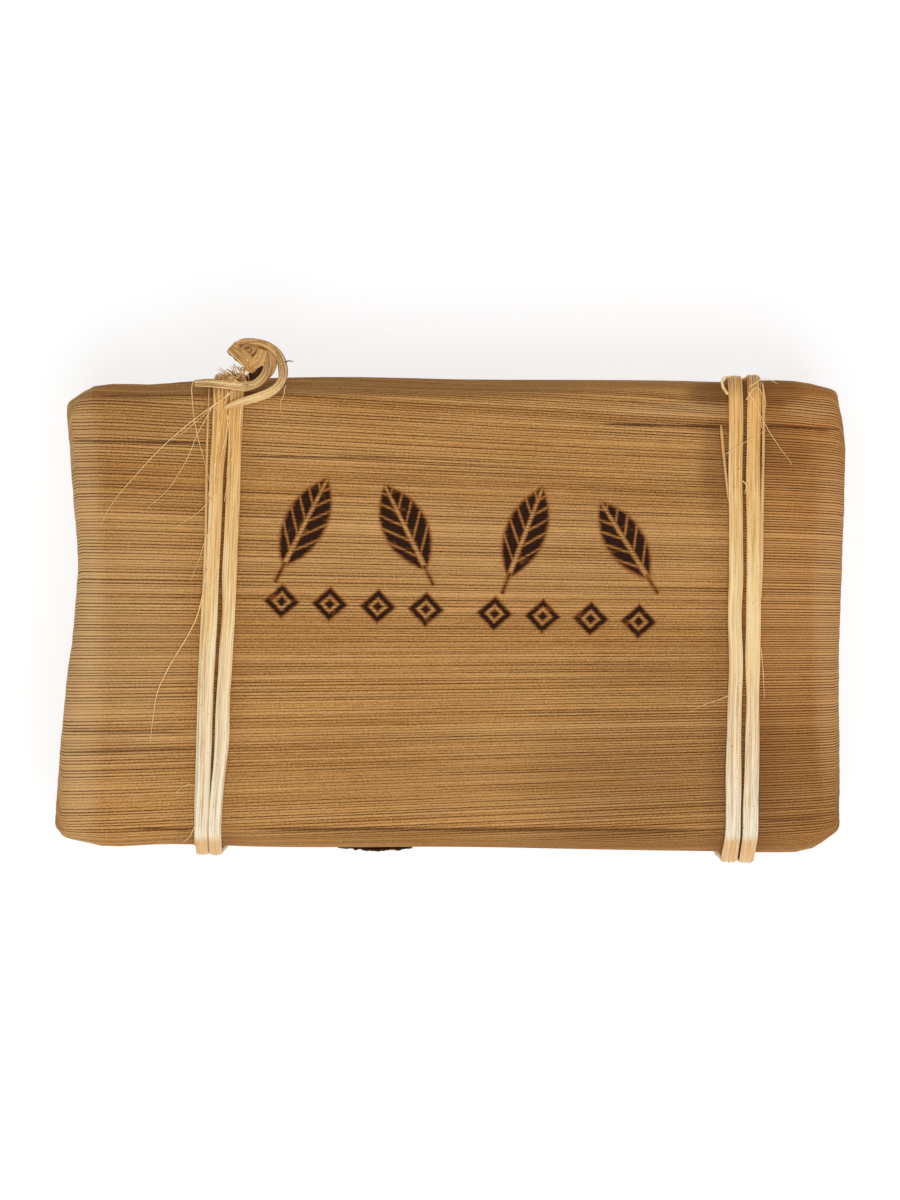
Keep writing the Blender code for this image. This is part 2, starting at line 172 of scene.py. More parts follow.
def swellHeight(x, y):
    return sum(rise * np.exp(-((x - centre[0]) / reach[0]) ** 2 - ((y - centre[1]) / reach[1]) ** 2)
               for centre, reach, rise in swells)


def creaseLines(x, y):
    # height of every crease, and how dark the painted shade in its furrow is
    height, furrow = np.zeros_like(x), np.zeros_like(x)
    for (x0, y0), (x1, y1), width, rise in creases:
        share = (x - x0) / (x1 - x0)
        fall = smooth(-0.08, 0.12, share) * (1 - smooth(0.85, 1.08, share))
        off = (y - (y0 + (y1 - y0) * share)) / width
        height += rise * fall * (np.exp(-(off - 0.8) ** 2) - 0.8 * np.exp(-(off + 0.5) ** 2 * 2))
        dark = 0.4 * np.exp(-(off + 0.5) ** 2 * 2.5) + 0.9 * np.exp(-(off + 0.5) ** 2 * 14)
        furrow += fall * dark * min(1, rise / 0.14)
    return height, furrow


waves = np.random.default_rng(7).uniform(0, 2 * math.pi, 12)


def ripple(along, across):
    # soft waves in the dried sheath, long along its veins
    height = 0
    for index, (size, length) in enumerate(((0.02, 3.1), (0.03, 4.7), (0.04, 7.3), (0.06, 12.5))):
        drift = 1.4 * np.sin(along / (17 + 9 * index) + waves[index + 4])
        strength = 0.6 + 0.4 * np.sin(along / (23 + 7 * index) + waves[index + 8])
        height += size * strength * np.sin(across * 2 * math.pi / length + waves[index] + drift)
    return height + 0.16 * np.sin(along / 11 + across / 19 + 1.0) * np.sin(across / 9.0 + 0.6)


def cornerPower(x, side):
    # the knot side's edge is folded flat from the left end to past the middle, and round elsewhere
    flat = smooth(-76, -66, x) * (1 - smooth(8, 40, x)) * np.where(side > 0, 1, 0)
    return 2.0 - 0.86 * flat


def rollOver(points):
    # turns the plain box's edges over, and gives the outward direction there
    low = np.array((brick["endRoll"] - brick["halfLength"], brick["sideRoll"] - brick["halfWidth"],
                    brick["backHeight"] + brick["backRoll"]))
    high = np.array((-low[0], -low[1], brick["faceHeight"] - brick["faceRoll"]))
    core = np.clip(points, low, high)
    rise = np.where(points[:, 2] > core[:, 2], brick["faceRoll"], brick["backRoll"])
    rolls = np.stack((np.full_like(rise, brick["endRoll"]), np.full_like(rise, brick["sideRoll"]), rise), 1)
    offset = (points - core) / rolls
    across = (offset[:, 0] ** 8 + offset[:, 1] ** 8) ** (1 / 8)
    power = np.where(offset[:, 2] > 0, cornerPower(points[:, 0], offset[:, 1]), 2.0)
    length = (across**power + np.abs(offset[:, 2]) ** power) ** (1 / power)
    outward = offset / rolls
    outward /= np.linalg.norm(outward, axis=1)[:, None]
    return core + offset * rolls / length[:, None], outward


def wrapPlace(points, recess):
    # carries points of the plain box to the wrapped brick's surface, recess mm below its outer layer
    turned, outward = rollOver(points)
    turned = turned - outward * recess[:, None]
    x = turned[:, 0] * endReach(turned[:, 0], turned[:, 1]) / brick["halfLength"]
    top, bottom = sideReaches(x)
    y = bottom + (top - bottom) * (turned[:, 1] / brick["halfWidth"] + 1) / 2
    upper = (turned[:, 2] - brick["backHeight"]) / (brick["faceHeight"] - brick["backHeight"])
    z = turned[:, 2] + crownRise(x, y) * np.maximum(0, upper)
    facing = np.maximum(0, outward[:, 2])
    height, furrow = creaseLines(x, y)
    lift = (height + swellHeight(x, y) - tieDip(x, y)) * facing
    return np.stack((x, y, z), 1) + outward * lift[:, None], outward, furrow * facing


# Veins of the sheath

veinForm = {"pitch": 0.54, "spread": 0.16, "depth": 0.06, "fanMiddle": -5.0, "fanRate": 0.0013,
            "rightRate": 0.0011, "leftRate": -0.0005}


def fanShare(x):
    # how much closer together the veins lie at x than in the middle
    places = np.linspace(-80, 80, 321)
    rate = veinForm["fanRate"] + veinForm["rightRate"] * smooth(60, 76, places)
    rate = rate + veinForm["leftRate"] * (1 - smooth(-76, -60, places))
    total = np.cumsum(rate) * (places[1] - places[0])
    return np.exp(np.interp(x, places, total - np.interp(0, places, total)))


class veinRows:
    # three rows of vertices to a vein: its furrow and two on the rib beside it
    def __init__(self, low, high, seed, coarse=None):
        chance = np.random.default_rng(seed)
        place, rows, depth, tone, number = low, [], [], [], []
        while place < high:
            pitch = veinForm["pitch"] * (1 + veinForm["spread"] * np.clip(chance.normal(), -1.6, 1.6))
            shares = (0.0, 0.32, 0.7)
            if coarse and abs(place) > coarse:
                pitch, shares = pitch * 1.4, (0.0, 0.5)
            strength, shade = chance.uniform(0.55, 1.2), chance.uniform(0, 1)
            for share in shares:
                rows.append(place + pitch * share)
                depth.append(strength if share == 0 else 0.12 * chance.uniform())
                tone.append(shade)
                number.append(chance.uniform(0, 2 * math.pi) if share == 0 else number[-1])
            place += pitch
        rows = np.array(rows + [high])
        self.places = low + (rows - low) * (high - low) / (rows[-1] - low)
        self.depth, self.tone = np.array(depth + [0.0]), np.array(tone + [0.5])
        self.phase = np.array(number + [0.0])

    def relief(self, row, along):
        swell = 0.72 + 0.28 * np.sin(along / 13 + self.phase[row]) * np.sin(along / 31 + 2 * self.phase[row])
        return self.depth[row] * swell


def spread(low, high, spans, closeness):
    # places from low to high, closer together where closeness is larger
    fine = np.linspace(low, high, 4001)
    total = np.concatenate(([0], np.cumsum(closeness((fine[1:] + fine[:-1]) / 2))))
    return np.interp(np.linspace(0, total[-1], spans + 1), total, fine)


# Making pieces

def gridSheet(columns, rows):
    # a flat grid, with each vertex's column and row
    bm = bmesh.new()
    bmesh.ops.create_grid(bm, x_segments=columns, y_segments=rows, size=0.5)
    flat = np.array([vert.co.xy for vert in bm.verts])
    column = np.rint((flat[:, 0] + 0.5) * columns).astype(int)
    row = np.rint((flat[:, 1] + 0.5) * rows).astype(int)
    return bm, column, row


def placeVerts(bm, points, **marks):
    # moves every vertex to its place and keeps its marks as attributes
    layers = [(bm.verts.layers.float.new(name), values) for name, values in marks.items()]
    for index, vert in enumerate(bm.verts):
        vert.co = points[index]
        for layer, values in layers:
            vert[layer] = values[index]


def thicken(bm, outward, thick):
    # gives a sheet a wall of thick mm under its outer side
    layer = bm.verts.layers.float_vector.new("outward")
    for index, vert in enumerate(bm.verts):
        vert[layer] = outward[index]
    made = bmesh.ops.extrude_face_region(bm, geom=bm.faces[:])["geom"]
    for vert in (item for item in made if isinstance(item, bmesh.types.BMVert)):
        vert.co -= vert[layer] * thick * mm
    bm.verts.layers.float_vector.remove(layer)


def addObject(name, data):
    made = bpy.data.objects.new(name, data)
    bpy.context.scene.collection.objects.link(made)
    return made


def addMesh(name, bm, surface):
    mesh = bpy.data.meshes.new(name)
    bm.to_mesh(mesh)
    bm.free()
    mesh.materials.append(surface)
    return addObject(name, mesh)


def finishPiece(name, bm, surface, slotName, *nodes):
    bmesh.ops.recalc_face_normals(bm, faces=bm.faces)
    piece = addMesh(name, bm, surface)
    piece.data.shade_smooth()
    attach(piece, "root")
    if nodes:
        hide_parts(*nodes)
    print(name, sum(len(face.vertices) - 2 for face in piece.data.polygons), "triangles")
    return piece


# Shader maths

class field:
    # wraps a node's output, so that shader sums read as sums
    def __init__(self, paint, socket):
        self.paint = paint
        self.socket = socket

    def sum(self, operation, first, second=0.0):
        return self.paint.node("Math", {"operation": operation}, {0: first, 1: second})

    def __add__(self, other):
        return self.sum("ADD", self, other)

    def __sub__(self, other):
        return self.sum("SUBTRACT", self, other)

    def __rsub__(self, other):
        return self.sum("SUBTRACT", other, self)

    def __mul__(self, other):
        return self.sum("MULTIPLY", self, other)

    def __truediv__(self, other):
        return self.sum("DIVIDE", self, other)

    def __pow__(self, other):
        return self.sum("POWER", self, other)

    def __mod__(self, other):
        return self.sum("FLOORED_MODULO", self, other)

    def __abs__(self):
        return self.sum("ABSOLUTE", self)

    __radd__ = __add__
    __rmul__ = __mul__


def shade(red, green, blue):
    # a colour as seen on screen, 0 to 255, as linear light
    parts = [value / 255 for value in (red, green, blue)]
    return (*[v / 12.92 if v <= 0.04045 else ((v + 0.055) / 1.055) ** 2.4 for v in parts], 1.0)


class paintBox:
    # one material, and the ways to add nodes to it; ramp and blend take colours as seen on screen
    def __init__(self, name):
        self.material = bpy.data.materials.new(name)
        self.material.use_nodes = True
        self.tree = self.material.node_tree
        self.shader = self.tree.nodes["Principled BSDF"]

    def node(self, kind, settings=None, inputs=None, output=0):
        made = self.tree.nodes.new("ShaderNode" + kind)
        for key, value in (settings or {}).items():
            setattr(made, key, value)
        for key, value in (inputs or {}).items():
            self.feed(made.inputs[key], value)
        return field(self, made.outputs[output])

    def feed(self, socket, value):
        if isinstance(value, field):
            self.tree.links.new(value.socket, socket)
        else:
            socket.default_value = value

    def mark(self, name):
        return self.node("Attribute", {"attribute_name": name}, output=2)

    def place(self):
        whole = self.node("TexCoord", output=3)
        parts = [self.node("SeparateXYZ", None, {0: whole}, output=axis) for axis in range(3)]
        return [part * (1 / mm) - float(move) for part, move in zip(parts, shift)]

    def noise(self, parts, detail, rough):
        # noise at the place whose x, y and z are the parts
        vector = self.node("CombineXYZ", None, dict(enumerate(parts)))
        inputs = {"Vector": vector, "Scale": 1.0, "Detail": detail, "Roughness": rough}
        return self.node("TexNoise", None, inputs)

    def fade(self, value, low, high):
        return self.node("MapRange", {"interpolation_type": "SMOOTHSTEP"}, {0: value, 1: low, 2: high})

    def ramp(self, value, *stops):
        made = self.node("ValToRGB", None, {0: value})
        elements = made.socket.node.color_ramp.elements
        while len(elements) < len(stops):
            elements.new(1.0)
        for (place, colour), element in zip(stops, elements):
            element.position, element.color = place, shade(*colour)
        return made

    def blend(self, factor, first, second):
        first, second = (shade(*each) if isinstance(each, tuple) else each for each in (first, second))
        return self.node("Mix", {"data_type": "RGBA"}, {0: factor, 6: first, 7: second}, 2)

    def larger(self, first, second):
        return self.node("Math", {"operation": "MAXIMUM"}, {0: first, 1: second})

    def smaller(self, first, second):
        return self.node("Math", {"operation": "MINIMUM"}, {0: first, 1: second})

    def finish(self, colour, rough, specular=0.5, relief=None, strength=0.5, distance=0.0001):
        # feeds the shader, and gives the material
        inputs = {"Base Color": colour, "Roughness": rough, "Specular IOR Level": specular}
        if relief:
            bump = {"Strength": strength, "Distance": distance, "Height": relief}
            inputs["Normal"] = self.node("Bump", None, bump)
        for key, value in inputs.items():
            self.feed(self.shader.inputs[key], value)
        return self.material


def turned(x, y, centre, degrees):
    # x and y about a centre, turned by an angle: first along it, then across it
    angle = math.radians(degrees)
    dx, dy = x - centre[0], y - centre[1]
    return dx * math.cos(angle) + dy * math.sin(angle), dy * math.cos(angle) - dx * math.sin(angle)


# Burnt marks on the face: four leaves, and under them a row of eight lozenges

marks = {
    # (x, y) of the middle, angle in degrees, length and half width
    "leaves": (((-29.2, 16.8), 63, 20.0, 4.2), ((-8.2, 15.8), 116, 19.0, 4.5),
               ((14.2, 14.8), 69, 19.5, 4.1), ((35.0, 13.4), 122, 18.5, 3.9)),
    "belly": 2.2, "ribPitch": 3.3, "ribLean": 1.2, "stem": 0.42,
    "rows": ((-19.0, 1.9), (22.8, -0.5)), "rowSlope": -3.2, "rowPitch": 9.45, "lozenge": 3.7, "ring": 1.5,
    "char": (36, 17, 7), "ember": (48, 24, 10), "brown": (140, 78, 24), "scorch": (140, 82, 32),
}


def leafBurn(paint, x, y, centre, degrees, length, half):
    # how far inside a burnt leaf's edge a place lies, in mm, with its ribs left bare
    p, q = turned(x, y, centre, degrees)
    side, pitch = abs(q), marks["ribPitch"]
    inside = half * (1 - abs((p - 1.5) / (length / 2)) ** marks["belly"]) - side
    midrib = side - (0.3 - p * 0.012)
    ribs = abs((p - side * marks["ribLean"]) % pitch - pitch / 2) * 0.72 - 0.1
    leaf = paint.smaller(paint.smaller(inside, midrib * 1.8), ribs * 1.5 + 0.1)
    stem = marks["stem"] - side - paint.fade(abs(p + length * 0.47), 2.1, 2.6)
    return paint.larger(leaf, stem)


def lozengeBurn(paint, x, y, middle):
    # the same for four lozenges of the row, each with a bare ring in it
    p, q = turned(x, y, middle, marks["rowSlope"])
    step = marks["rowPitch"]
    outside = paint.fade(abs(p), step * 2, step * 2 + 0.01) * 9
    ring = abs(p % step - step / 2) + abs(q) * 1.05
    bare = abs(ring - marks["ring"]) - 0.32
    return paint.smaller(marks["lozenge"] - ring - outside, bare * 1.4)


def burnMarks(paint, colour, x, y, z, streaks, fibres, cloud, line):
    # scorched rim, brown inside it and a charred heart, all uneven
    wobble = (paint.noise((x * 0.9, y * 2.2, 5.0), 3.0, 0.6) - 0.5) * 0.5
    burns = [leafBurn(paint, x, y, *leaf) for leaf in marks["leaves"]]
    burns += [lozengeBurn(paint, x, y, row) for row in marks["rows"]]
    burn = burns[0]
    for other in burns[1:]:
        burn = paint.larger(burn, other)
    face = paint.fade(z, 27.4, 28.2)
    depth = burn + wobble
    scorch = paint.fade(depth, -0.5, 0.15) * face
    core = paint.fade(depth + (cloud - 0.5) * 0.9, -0.05, 0.45) * face
    heart = paint.fade(depth + (streaks - 0.5) * 1.2 + (fibres - 0.5) * 0.7 + line * 0.3, 0.1, 0.8) * face
    glow = paint.noise((x * 0.33, y * 0.5, 12.0), 2.0, 0.5)
    heart = heart * (1 - paint.fade(glow, 0.58, 0.76) * 0.7)
    colour = paint.blend(scorch * 0.6, colour, marks["scorch"])
    colour = paint.blend(core * 0.92, colour, marks["brown"])
    return paint.blend(heart, colour, paint.blend(line, marks["ember"], marks["char"]))


# The sheath's finish

sheathLook = {
    # the darker tint stands for darker tone and painted shade, the lighter tint for lighter tone and painted
    # highlights
    "light": (222, 170, 106), "middle": (201, 147, 84), "dark": (170, 116, 58), "furrow": (70, 33, 6),
    "darkToneAndPaintedShade": (121, 81, 43), "toneAndPaintedLight": (222, 180, 124), "ruddy": (216, 140, 70), "rough": 0.66, "bump": 0.00004,
    # streaks, fibres, cloud and grain: scale along and across, offset, detail, roughness, share in the tone
    "noises": ((0.04, 1.7, 0.0, 3.0, 0.62, 0.6), (0.35, 9.0, 3.0, 2.0, 0.6, 1.1),
               (0.02, 0.07, 7.0, 3.0, 0.55, 0.7), (2.2, 3.0, 11.0, 2.0, 0.65, 1.7)),
    # painted shade beside a tie, wide where it presses in and narrow in the gap between its strands: mm from
    # its middle where each begins and is full, and its strength
    "tieShades": ((9.0, 3.0, 0.35), (0.9, 0.2, 0.8)),
    # soft fields as (x, y), (half length, half width), strength: darker above zero, lighter below;
    # painted shade in the dents and hollows by the right tie and along the knot side's edge, painted
    # highlights on the rounded ends, a swell and a pucker, and tone across the face
    "fields": (
        ((65.0, 43.8), (6.5, 3.4), 1.2), ((63.2, 42.2), (3.0, 2.2), 0.4), ((52.0, 43.4), (7.0, 3.0), 1.1),
        ((43.0, 40.3), (16.0, 1.9), -0.6), ((51.0, 36.9), (6.0, 1.5), 0.5), ((71.5, 40.4), (7.0, 2.9), -1.0),
        ((64.5, 33.0), (7.5, 7.5), 0.95), ((71.0, 27.0), (9.0, 9.0), 0.5), ((75.4, 36.2), (1.6, 1.0), -0.8),
        ((69.0, -30.0), (18.0, 22.0), 0.7), ((0.0, -44.5), (75.0, 3.6), 0.65),
        ((-62.0, 38.5), (18.0, 6.5), 0.35), ((-62.0, -4.0), (12.0, 30.0), -0.5),
        ((66.0, 0.0), (9.0, 20.0), -0.45), ((2.0, 12.0), (60.0, 16.0), -0.25),
        ((-68.0, -25.5), (12.0, 3.0), 0.35), ((30.0, -12.0), (30.0, 3.0), 0.25),
        ((-73.5, 0.0), (6.5, 60.0), -1.1), ((74.8, 0.0), (4.5, 40.0), -1.25),
        ((0.0, 46.0), (80.0, 4.0), 0.35), ((-10.0, -24.0), (40.0, 5.0), 0.15),
        ((15.0, -33.0), (50.0, 10.0), 0.25), ((52.0, 29.0), (4.5, 11.0), 0.6),
        ((42.0, -31.0), (34.0, 25.0), 0.36),
    ),
}


def softField(paint, x, y, centre, reach):
    across = ((x - centre[0]) / reach[0]) ** 2 + ((y - centre[1]) / reach[1]) ** 2
    return paint.fade(across, 1.1, 0.0)


def sheathPaint(name, marked):
    paint = paintBox(name)
    x, y, z = paint.place()
    along, across = paint.mark("along"), paint.mark("across")
    vein, tone, furrow = paint.mark("vein"), paint.mark("tone"), paint.mark("furrow")
    light, layers = (tone - 0.5) * 0.4 + 0.5, []
    for lengthways, crossways, offset, detail, rough, share in sheathLook["noises"]:
        layers.append(paint.noise((along * lengthways, across * crossways, offset), detail, rough))
        light = light + (layers[-1] - 0.5) * share
    streaks, fibres, cloud, grain = layers
    stops = ((0.06, sheathLook["dark"]), (0.5, sheathLook["middle"]), (0.94, sheathLook["light"]))
    colour = paint.ramp(light, *stops)
    # the veins are drawn more strongly at the right end and at the lower right
    extra = paint.fade(x, 48.0, 62.0) * 0.5 + softField(paint, x, y, (45.0, -30.0), (40.0, 26.0)) * 0.4
    # the creases' furrows join the dark vein lines as painted shade in the folds
    line = paint.fade(vein * (extra + 1) + furrow * 0.7, 0.0, 0.64)
    line = line * (paint.fade(fibres + grain, 1.25, 0.7) * 0.3 + 0.7)
    # the darker tint starts from painted shade in the creases' furrows
    darkToneAndPaintedShade, toneAndPaintedLight = furrow * 0.9, 0.0
    # painted shade beside each tie and in the gap between its strands
    for tie in (0, 1):
        base, lean = tieMiddles(0)[tie], tieMiddles(1)[tie] - tieMiddles(0)[tie]
        off = abs(x - y * float(lean) - float(base))
        for begin, full, strength in sheathLook["tieShades"]:
            darkToneAndPaintedShade = darkToneAndPaintedShade + paint.fade(off, begin, full) * strength
    # the fields add painted shade and darker tone to the darker tint, and painted highlights and lighter tone
    # to the lighter tint
    for centre, reach, strength in sheathLook["fields"]:
        patch = softField(paint, x, y, centre, reach) * abs(strength)
        darkToneAndPaintedShade, toneAndPaintedLight = (darkToneAndPaintedShade + patch, toneAndPaintedLight) if strength > 0 else (darkToneAndPaintedShade, toneAndPaintedLight + patch)
    # painted shade along the knot side's folded edge, which faces away from the light
    darkToneAndPaintedShade = darkToneAndPaintedShade + paint.fade(y, 41.0, 45.0) * 0.35 * paint.fade(x, 45.0, 5.0)
    # darker lower down the sides
    darkToneAndPaintedShade = darkToneAndPaintedShade + paint.fade(z, 24.0, 10.0) * 0.12
    ruddy = paint.fade(x, 50.0, 68.0) * (paint.fade(y, -42.0, -12.0) * 0.26 + 0.1)
    shares = {"darkToneAndPaintedShade": paint.fade(darkToneAndPaintedShade, -0.35, 1.6) * 0.86 - 0.09, "toneAndPaintedLight": toneAndPaintedLight * 0.66, "ruddy": ruddy,
              "furrow": line * 0.96}
    for tint, share in shares.items():
        colour = paint.blend(share, colour, sheathLook[tint])
    if marked:
        colour = burnMarks(paint, colour, x, y, z, streaks, fibres, cloud, line)
    rough = (fibres - 0.5) * 0.2 + line * 0.12 + sheathLook["rough"]
    relief = fibres * 1.2 + streaks * 1.2 - line * 0.8
    return paint.finish(colour, rough, 0.1, relief, 0.6, sheathLook["bump"])


# The wrapped body

bodyForm = {"columns": 58, "halfGirth": 120.0, "coarse": 76.0, "seed": 11,
            "insets": (0.8, 1.8, 3.2, 5.5, 10.0), "cornerFrom": 30.0}


def girthPlace(girth, inset):
    # a place on the plain box's girth, at girth mm from the middle of the face
    half, side = brick["halfWidth"], brick["faceHeight"] - brick["backHeight"]
    span = np.abs(girth)
    sign = np.sign(girth)
    start = bodyForm["cornerFrom"]

    def drawIn(y):
        past = np.maximum(0, y - start)
        return np.minimum(y, start) + past * (half - start - inset) / (half - start)

    onFace, onSide = span <= half, (span > half) & (span <= half + side)
    y = np.where(onFace, drawIn(span), np.where(onSide, half - inset, drawIn(2 * half + side - span)))
    down = np.clip((span - half) / side, 0, 1)
    low, high = brick["backHeight"] + inset, brick["faceHeight"] - inset
    return y * sign, high + (low - high) * down


def bodyRecess(points, cut):
    # how far the body lies under the folded layers at its ends and on its back
    onEnd = np.abs(points[:, 0]) > brick["halfLength"] - 0.01
    drop = brick["faceHeight"] - points[:, 2]
    ends = np.where(onEnd, 1.15 * brick["layer"] * smooth(3.5, 11, drop), 0)
    ends = ends + np.where((cut > 4) | (cut < 0), 1.0, 0)
    back = 2 * brick["layer"] * np.maximum(0, 1 - (points[:, 2] - brick["backHeight"]) / 12)
    return np.maximum(ends, back)


def plainAcross(x, across):
    # the plain box's place across for a vein that runs straight over the face and is cut by its edges
    past = np.maximum(0, np.abs(x) / brick["endRoll"] - brick["halfLength"] / brick["endRoll"] + 1)
    rolled = x - np.sign(x) * brick["endRoll"] * (past - past / np.sqrt(1 + past**2))
    top, bottom = sideReaches(rolled * endReach(x, across) / brick["halfLength"])
    fanned = across + (across - veinForm["fanMiddle"]) * (1 / fanShare(x) - 1)
    return ((fanned - bottom) / (top - bottom) * 2 - 1) * brick["halfWidth"]


def makeBody(surface):
    half = bodyForm["halfGirth"] - 0.05
    veins = veinRows(-half, half, bodyForm["seed"], bodyForm["coarse"])
    middles = tieMiddles(0)

    def closeness(x):
        near = sum(np.exp(-((x - m) / 8) ** 2) for m in middles)
        return 1 + near * 0.8 + 4 * smooth(71.5, 74.5, np.abs(x))

    stations = spread(-brick["halfLength"], brick["halfLength"], bodyForm["columns"], closeness)
    insets = np.array(bodyForm["insets"])
    inset = np.concatenate(([-1], insets[::-1], np.zeros(len(stations)), insets, [-1]))
    reach = np.full(len(insets) + 1, brick["halfLength"])
    columns = np.concatenate((-reach, stations, reach))
    bm, column, row = gridSheet(len(columns) - 1, len(veins.places) - 1)
    x, across, cut = columns[column], veins.places[row], inset[column]
    hold = 1 - smooth(52, 119, np.abs(across))
    girth = across + (plainAcross(x, across) - across) * hold
    full = 2 * brick["halfWidth"] + brick["faceHeight"] - brick["backHeight"]
    girth = girth * full / bodyForm["halfGirth"]
    y, z = girthPlace(girth, np.maximum(0, cut))
    centre = cut < 0
    y, z = np.where(centre, 0, y), np.where(centre, 15, z)
    points = np.stack((x, y, z), 1)
    places, outward, furrow = wrapPlace(points, bodyRecess(points, cut))
    relief = veins.relief(row, x)
    lift = ripple(x, across) * 0.9 - relief * veinForm["depth"]
    lift = np.where(cut > 6, 0, lift) * np.where(centre, 0, 1)
    places = places + outward * lift[:, None]
    placeVerts(bm, toFrame(places), along=x, across=across, vein=relief, tone=veins.tone[row], furrow=furrow)
    bmesh.ops.remove_doubles(bm, verts=bm.verts, dist=1e-7)
    return finishPiece("sheathBody", bm, surface, "sheath", "sheath_wrap")


# Folded flaps over the ends and along the back

flapForm = {"width": 38.5, "taper": 0.2, "thick": 0.45, "leftEdge": 39.0, "rightEdge": 47.0, "seam": 8.0,
            "tear": 0.5, "stations": 34}


def layFlap(name, bm, surface, points, sink, veins, row, t, wave, marksAt):
    # lays a veined sheet over the wrapped brick and gives it its wall; marksAt is (along, across)
    places, outward, furrow = wrapPlace(points, sink)
    relief = veins.relief(row, t)
    lift = wave - relief * veinForm["depth"]
    places = places + outward * lift[:, None]
    placeVerts(bm, toFrame(places), along=marksAt[0], across=marksAt[1], vein=relief, tone=veins.tone[row],
               furrow=furrow)
    thicken(bm, outward, flapForm["thick"])
    return finishPiece(name, bm, surface, "sheath")


def makeEndFlap(name, end, freeEdge, seed, surface):
    # from under the rim of the face, over it, down the end and in along the back
    half, height = brick["halfLength"], brick["faceHeight"] - brick["backHeight"]
    start = 0.6
    length = start + height + half - freeEdge
    veins = veinRows(-flapForm["width"], flapForm["width"], seed)

    def closeness(t):
        return 1 + 3 * np.exp(-((t - start) / 3) ** 2) + 2 * np.exp(-((t - start - height) / 3) ** 2)

    stations = spread(0, length, flapForm["stations"], closeness)
    bm, column, row = gridSheet(len(stations) - 1, len(veins.places) - 1)
    t, across = stations[column], veins.places[row]
    tear = np.sin(across * 0.9 + seed) * 0.3 + np.sin(across * 0.23 + 2 * seed) * 0.8 + veins.tone[row] * 0.4
    t = t + tear * flapForm["tear"] * (column == column.max())
    x = end * np.where(t < start, half - start + t, np.where(t < start + height, half,
                       half - (t - start - height)))
    z = np.where(t < start, brick["faceHeight"],
                 np.clip(brick["faceHeight"] - (t - start), brick["backHeight"], brick["faceHeight"]))
    onBack = np.maximum(0, t - start - height)
    y = across * (1 - flapForm["taper"] * onBack / flapForm["width"])
    points = np.stack((x, y, z), 1)
    sink = 0.5 * (1 - smooth(4.5, 9.5, t - start))
    sink = sink + brick["layer"] * 0.8 * smooth(0, 3, y - flapForm["seam"]) * smooth(0, 4, onBack)
    wave = ripple(t + 40 * end, across) * 0.5
    return layFlap(name, bm, surface, points, sink, veins, row, t, wave, (t + 90, across + 7 * end))


def makeBackFlap(surface):
    # the long overlap: from the far side over the back, with its free edge past the middle
    half, height = brick["halfWidth"], brick["backHeight"]
    start = -half + 1.0
    veins = veinRows(start, flapForm["seam"], 29)
    stations = spread(-74.5, 74.5, flapForm["stations"], np.ones_like)
    bm, column, row = gridSheet(len(stations) - 1, len(veins.places) - 1)
    x, across = stations[column], veins.places[row]
    tear = np.sin(x * 0.31) * 0.25 + np.sin(x * 0.09 + 1.0) * 0.5
    y = across + tear * smooth(flapForm["seam"] - 6, flapForm["seam"], across)
    points = np.stack((x, y, np.full_like(x, height)), 1)
    sink = brick["layer"] + 0.8 * (1 - smooth(start + 0.5, start + 4, y))
    wave = ripple(x + 30, across) * 0.4
    return layFlap("backFlap", bm, surface, points, sink, veins, row, x, wave, (x + 300, across - 150))


# Strips of split bamboo

def waver(chance, lines, steps, knots, size):
    # a smooth random change along each of several lines
    ends = chance.normal(0, size, (lines, knots + 1))
    place = np.linspace(0, knots - 1e-6, steps)
    index = place.astype(int)
    share = (1 - np.cos((place - index) * math.pi)) / 2
    return ends[:, index] * (1 - share) + ends[:, index + 1] * share


def sweep(bm, frames, sections, closed, along):
    # extrudes a face along a row of frames, each with its own section of (u, v) points
    marksAt = {name: bm.verts.layers.float.get(name) or bm.verts.layers.float.new(name)
               for name in ("along", "across", "tone")}
    count = len(sections[0])
    widest = max(abs(u) for u, v in sections[len(sections) // 2]) or 1.0

    def setRing(verts, frameNow, section, distance):
        origin, side, up = frameNow
        for vert, (u, v) in zip(verts, section):
            place = origin + side * u + up * v
            place[2] = max(place[2], 0.02)
            vert.co = toFrame(place)
            vert[marksAt["along"]] = distance
            vert[marksAt["across"]] = u / widest
            vert[marksAt["tone"]] = v

    first = bm.faces.new([bm.verts.new() for _ in range(count)])
    setRing(first.verts, frames[0], sections[0], along[0])
    end, inside = first, []
    for frameNow, section, distance in zip(frames[1:], sections[1:], along[1:]):
        made = bmesh.ops.extrude_face_region(bm, geom=[end])["geom"]
        if end is not first:
            inside.append(end)
        end = next(item for item in made if isinstance(item, bmesh.types.BMFace))
        setRing(end.verts, frameNow, section, distance)
    bmesh.ops.delete(bm, geom=inside, context="FACES_ONLY")
    if closed:
        rims = [edge for cap in (first, end) for edge in cap.edges]
        bmesh.ops.delete(bm, geom=[first, end], context="FACES_ONLY")
        bmesh.ops.bridge_loops(bm, edges=rims)


def framesAlong(places, outwards, closed):
    # one frame for each place: its origin, the direction across the strip and the direction out of it
    places = np.asarray(places, float)
    outwards = np.broadcast_to(np.asarray(outwards, float), places.shape)
    if closed:
        along = np.roll(places, -1, 0) - np.roll(places, 1, 0)
    else:
        along = np.gradient(places, axis=0)
    along /= np.linalg.norm(along, axis=1)[:, None]
    up = outwards - along * np.sum(outwards * along, 1)[:, None]
    up /= np.linalg.norm(up, axis=1)[:, None]
    side = np.cross(up, along)
    return list(zip(places, side, up))


def pathLength(places):
    return np.concatenate(([0], np.cumsum(np.linalg.norm(np.diff(places, axis=0), axis=1))))


def sweepOpen(bm, places, outwards, sections):
    sweep(bm, framesAlong(places, outwards, False), sections, False, pathLength(places))


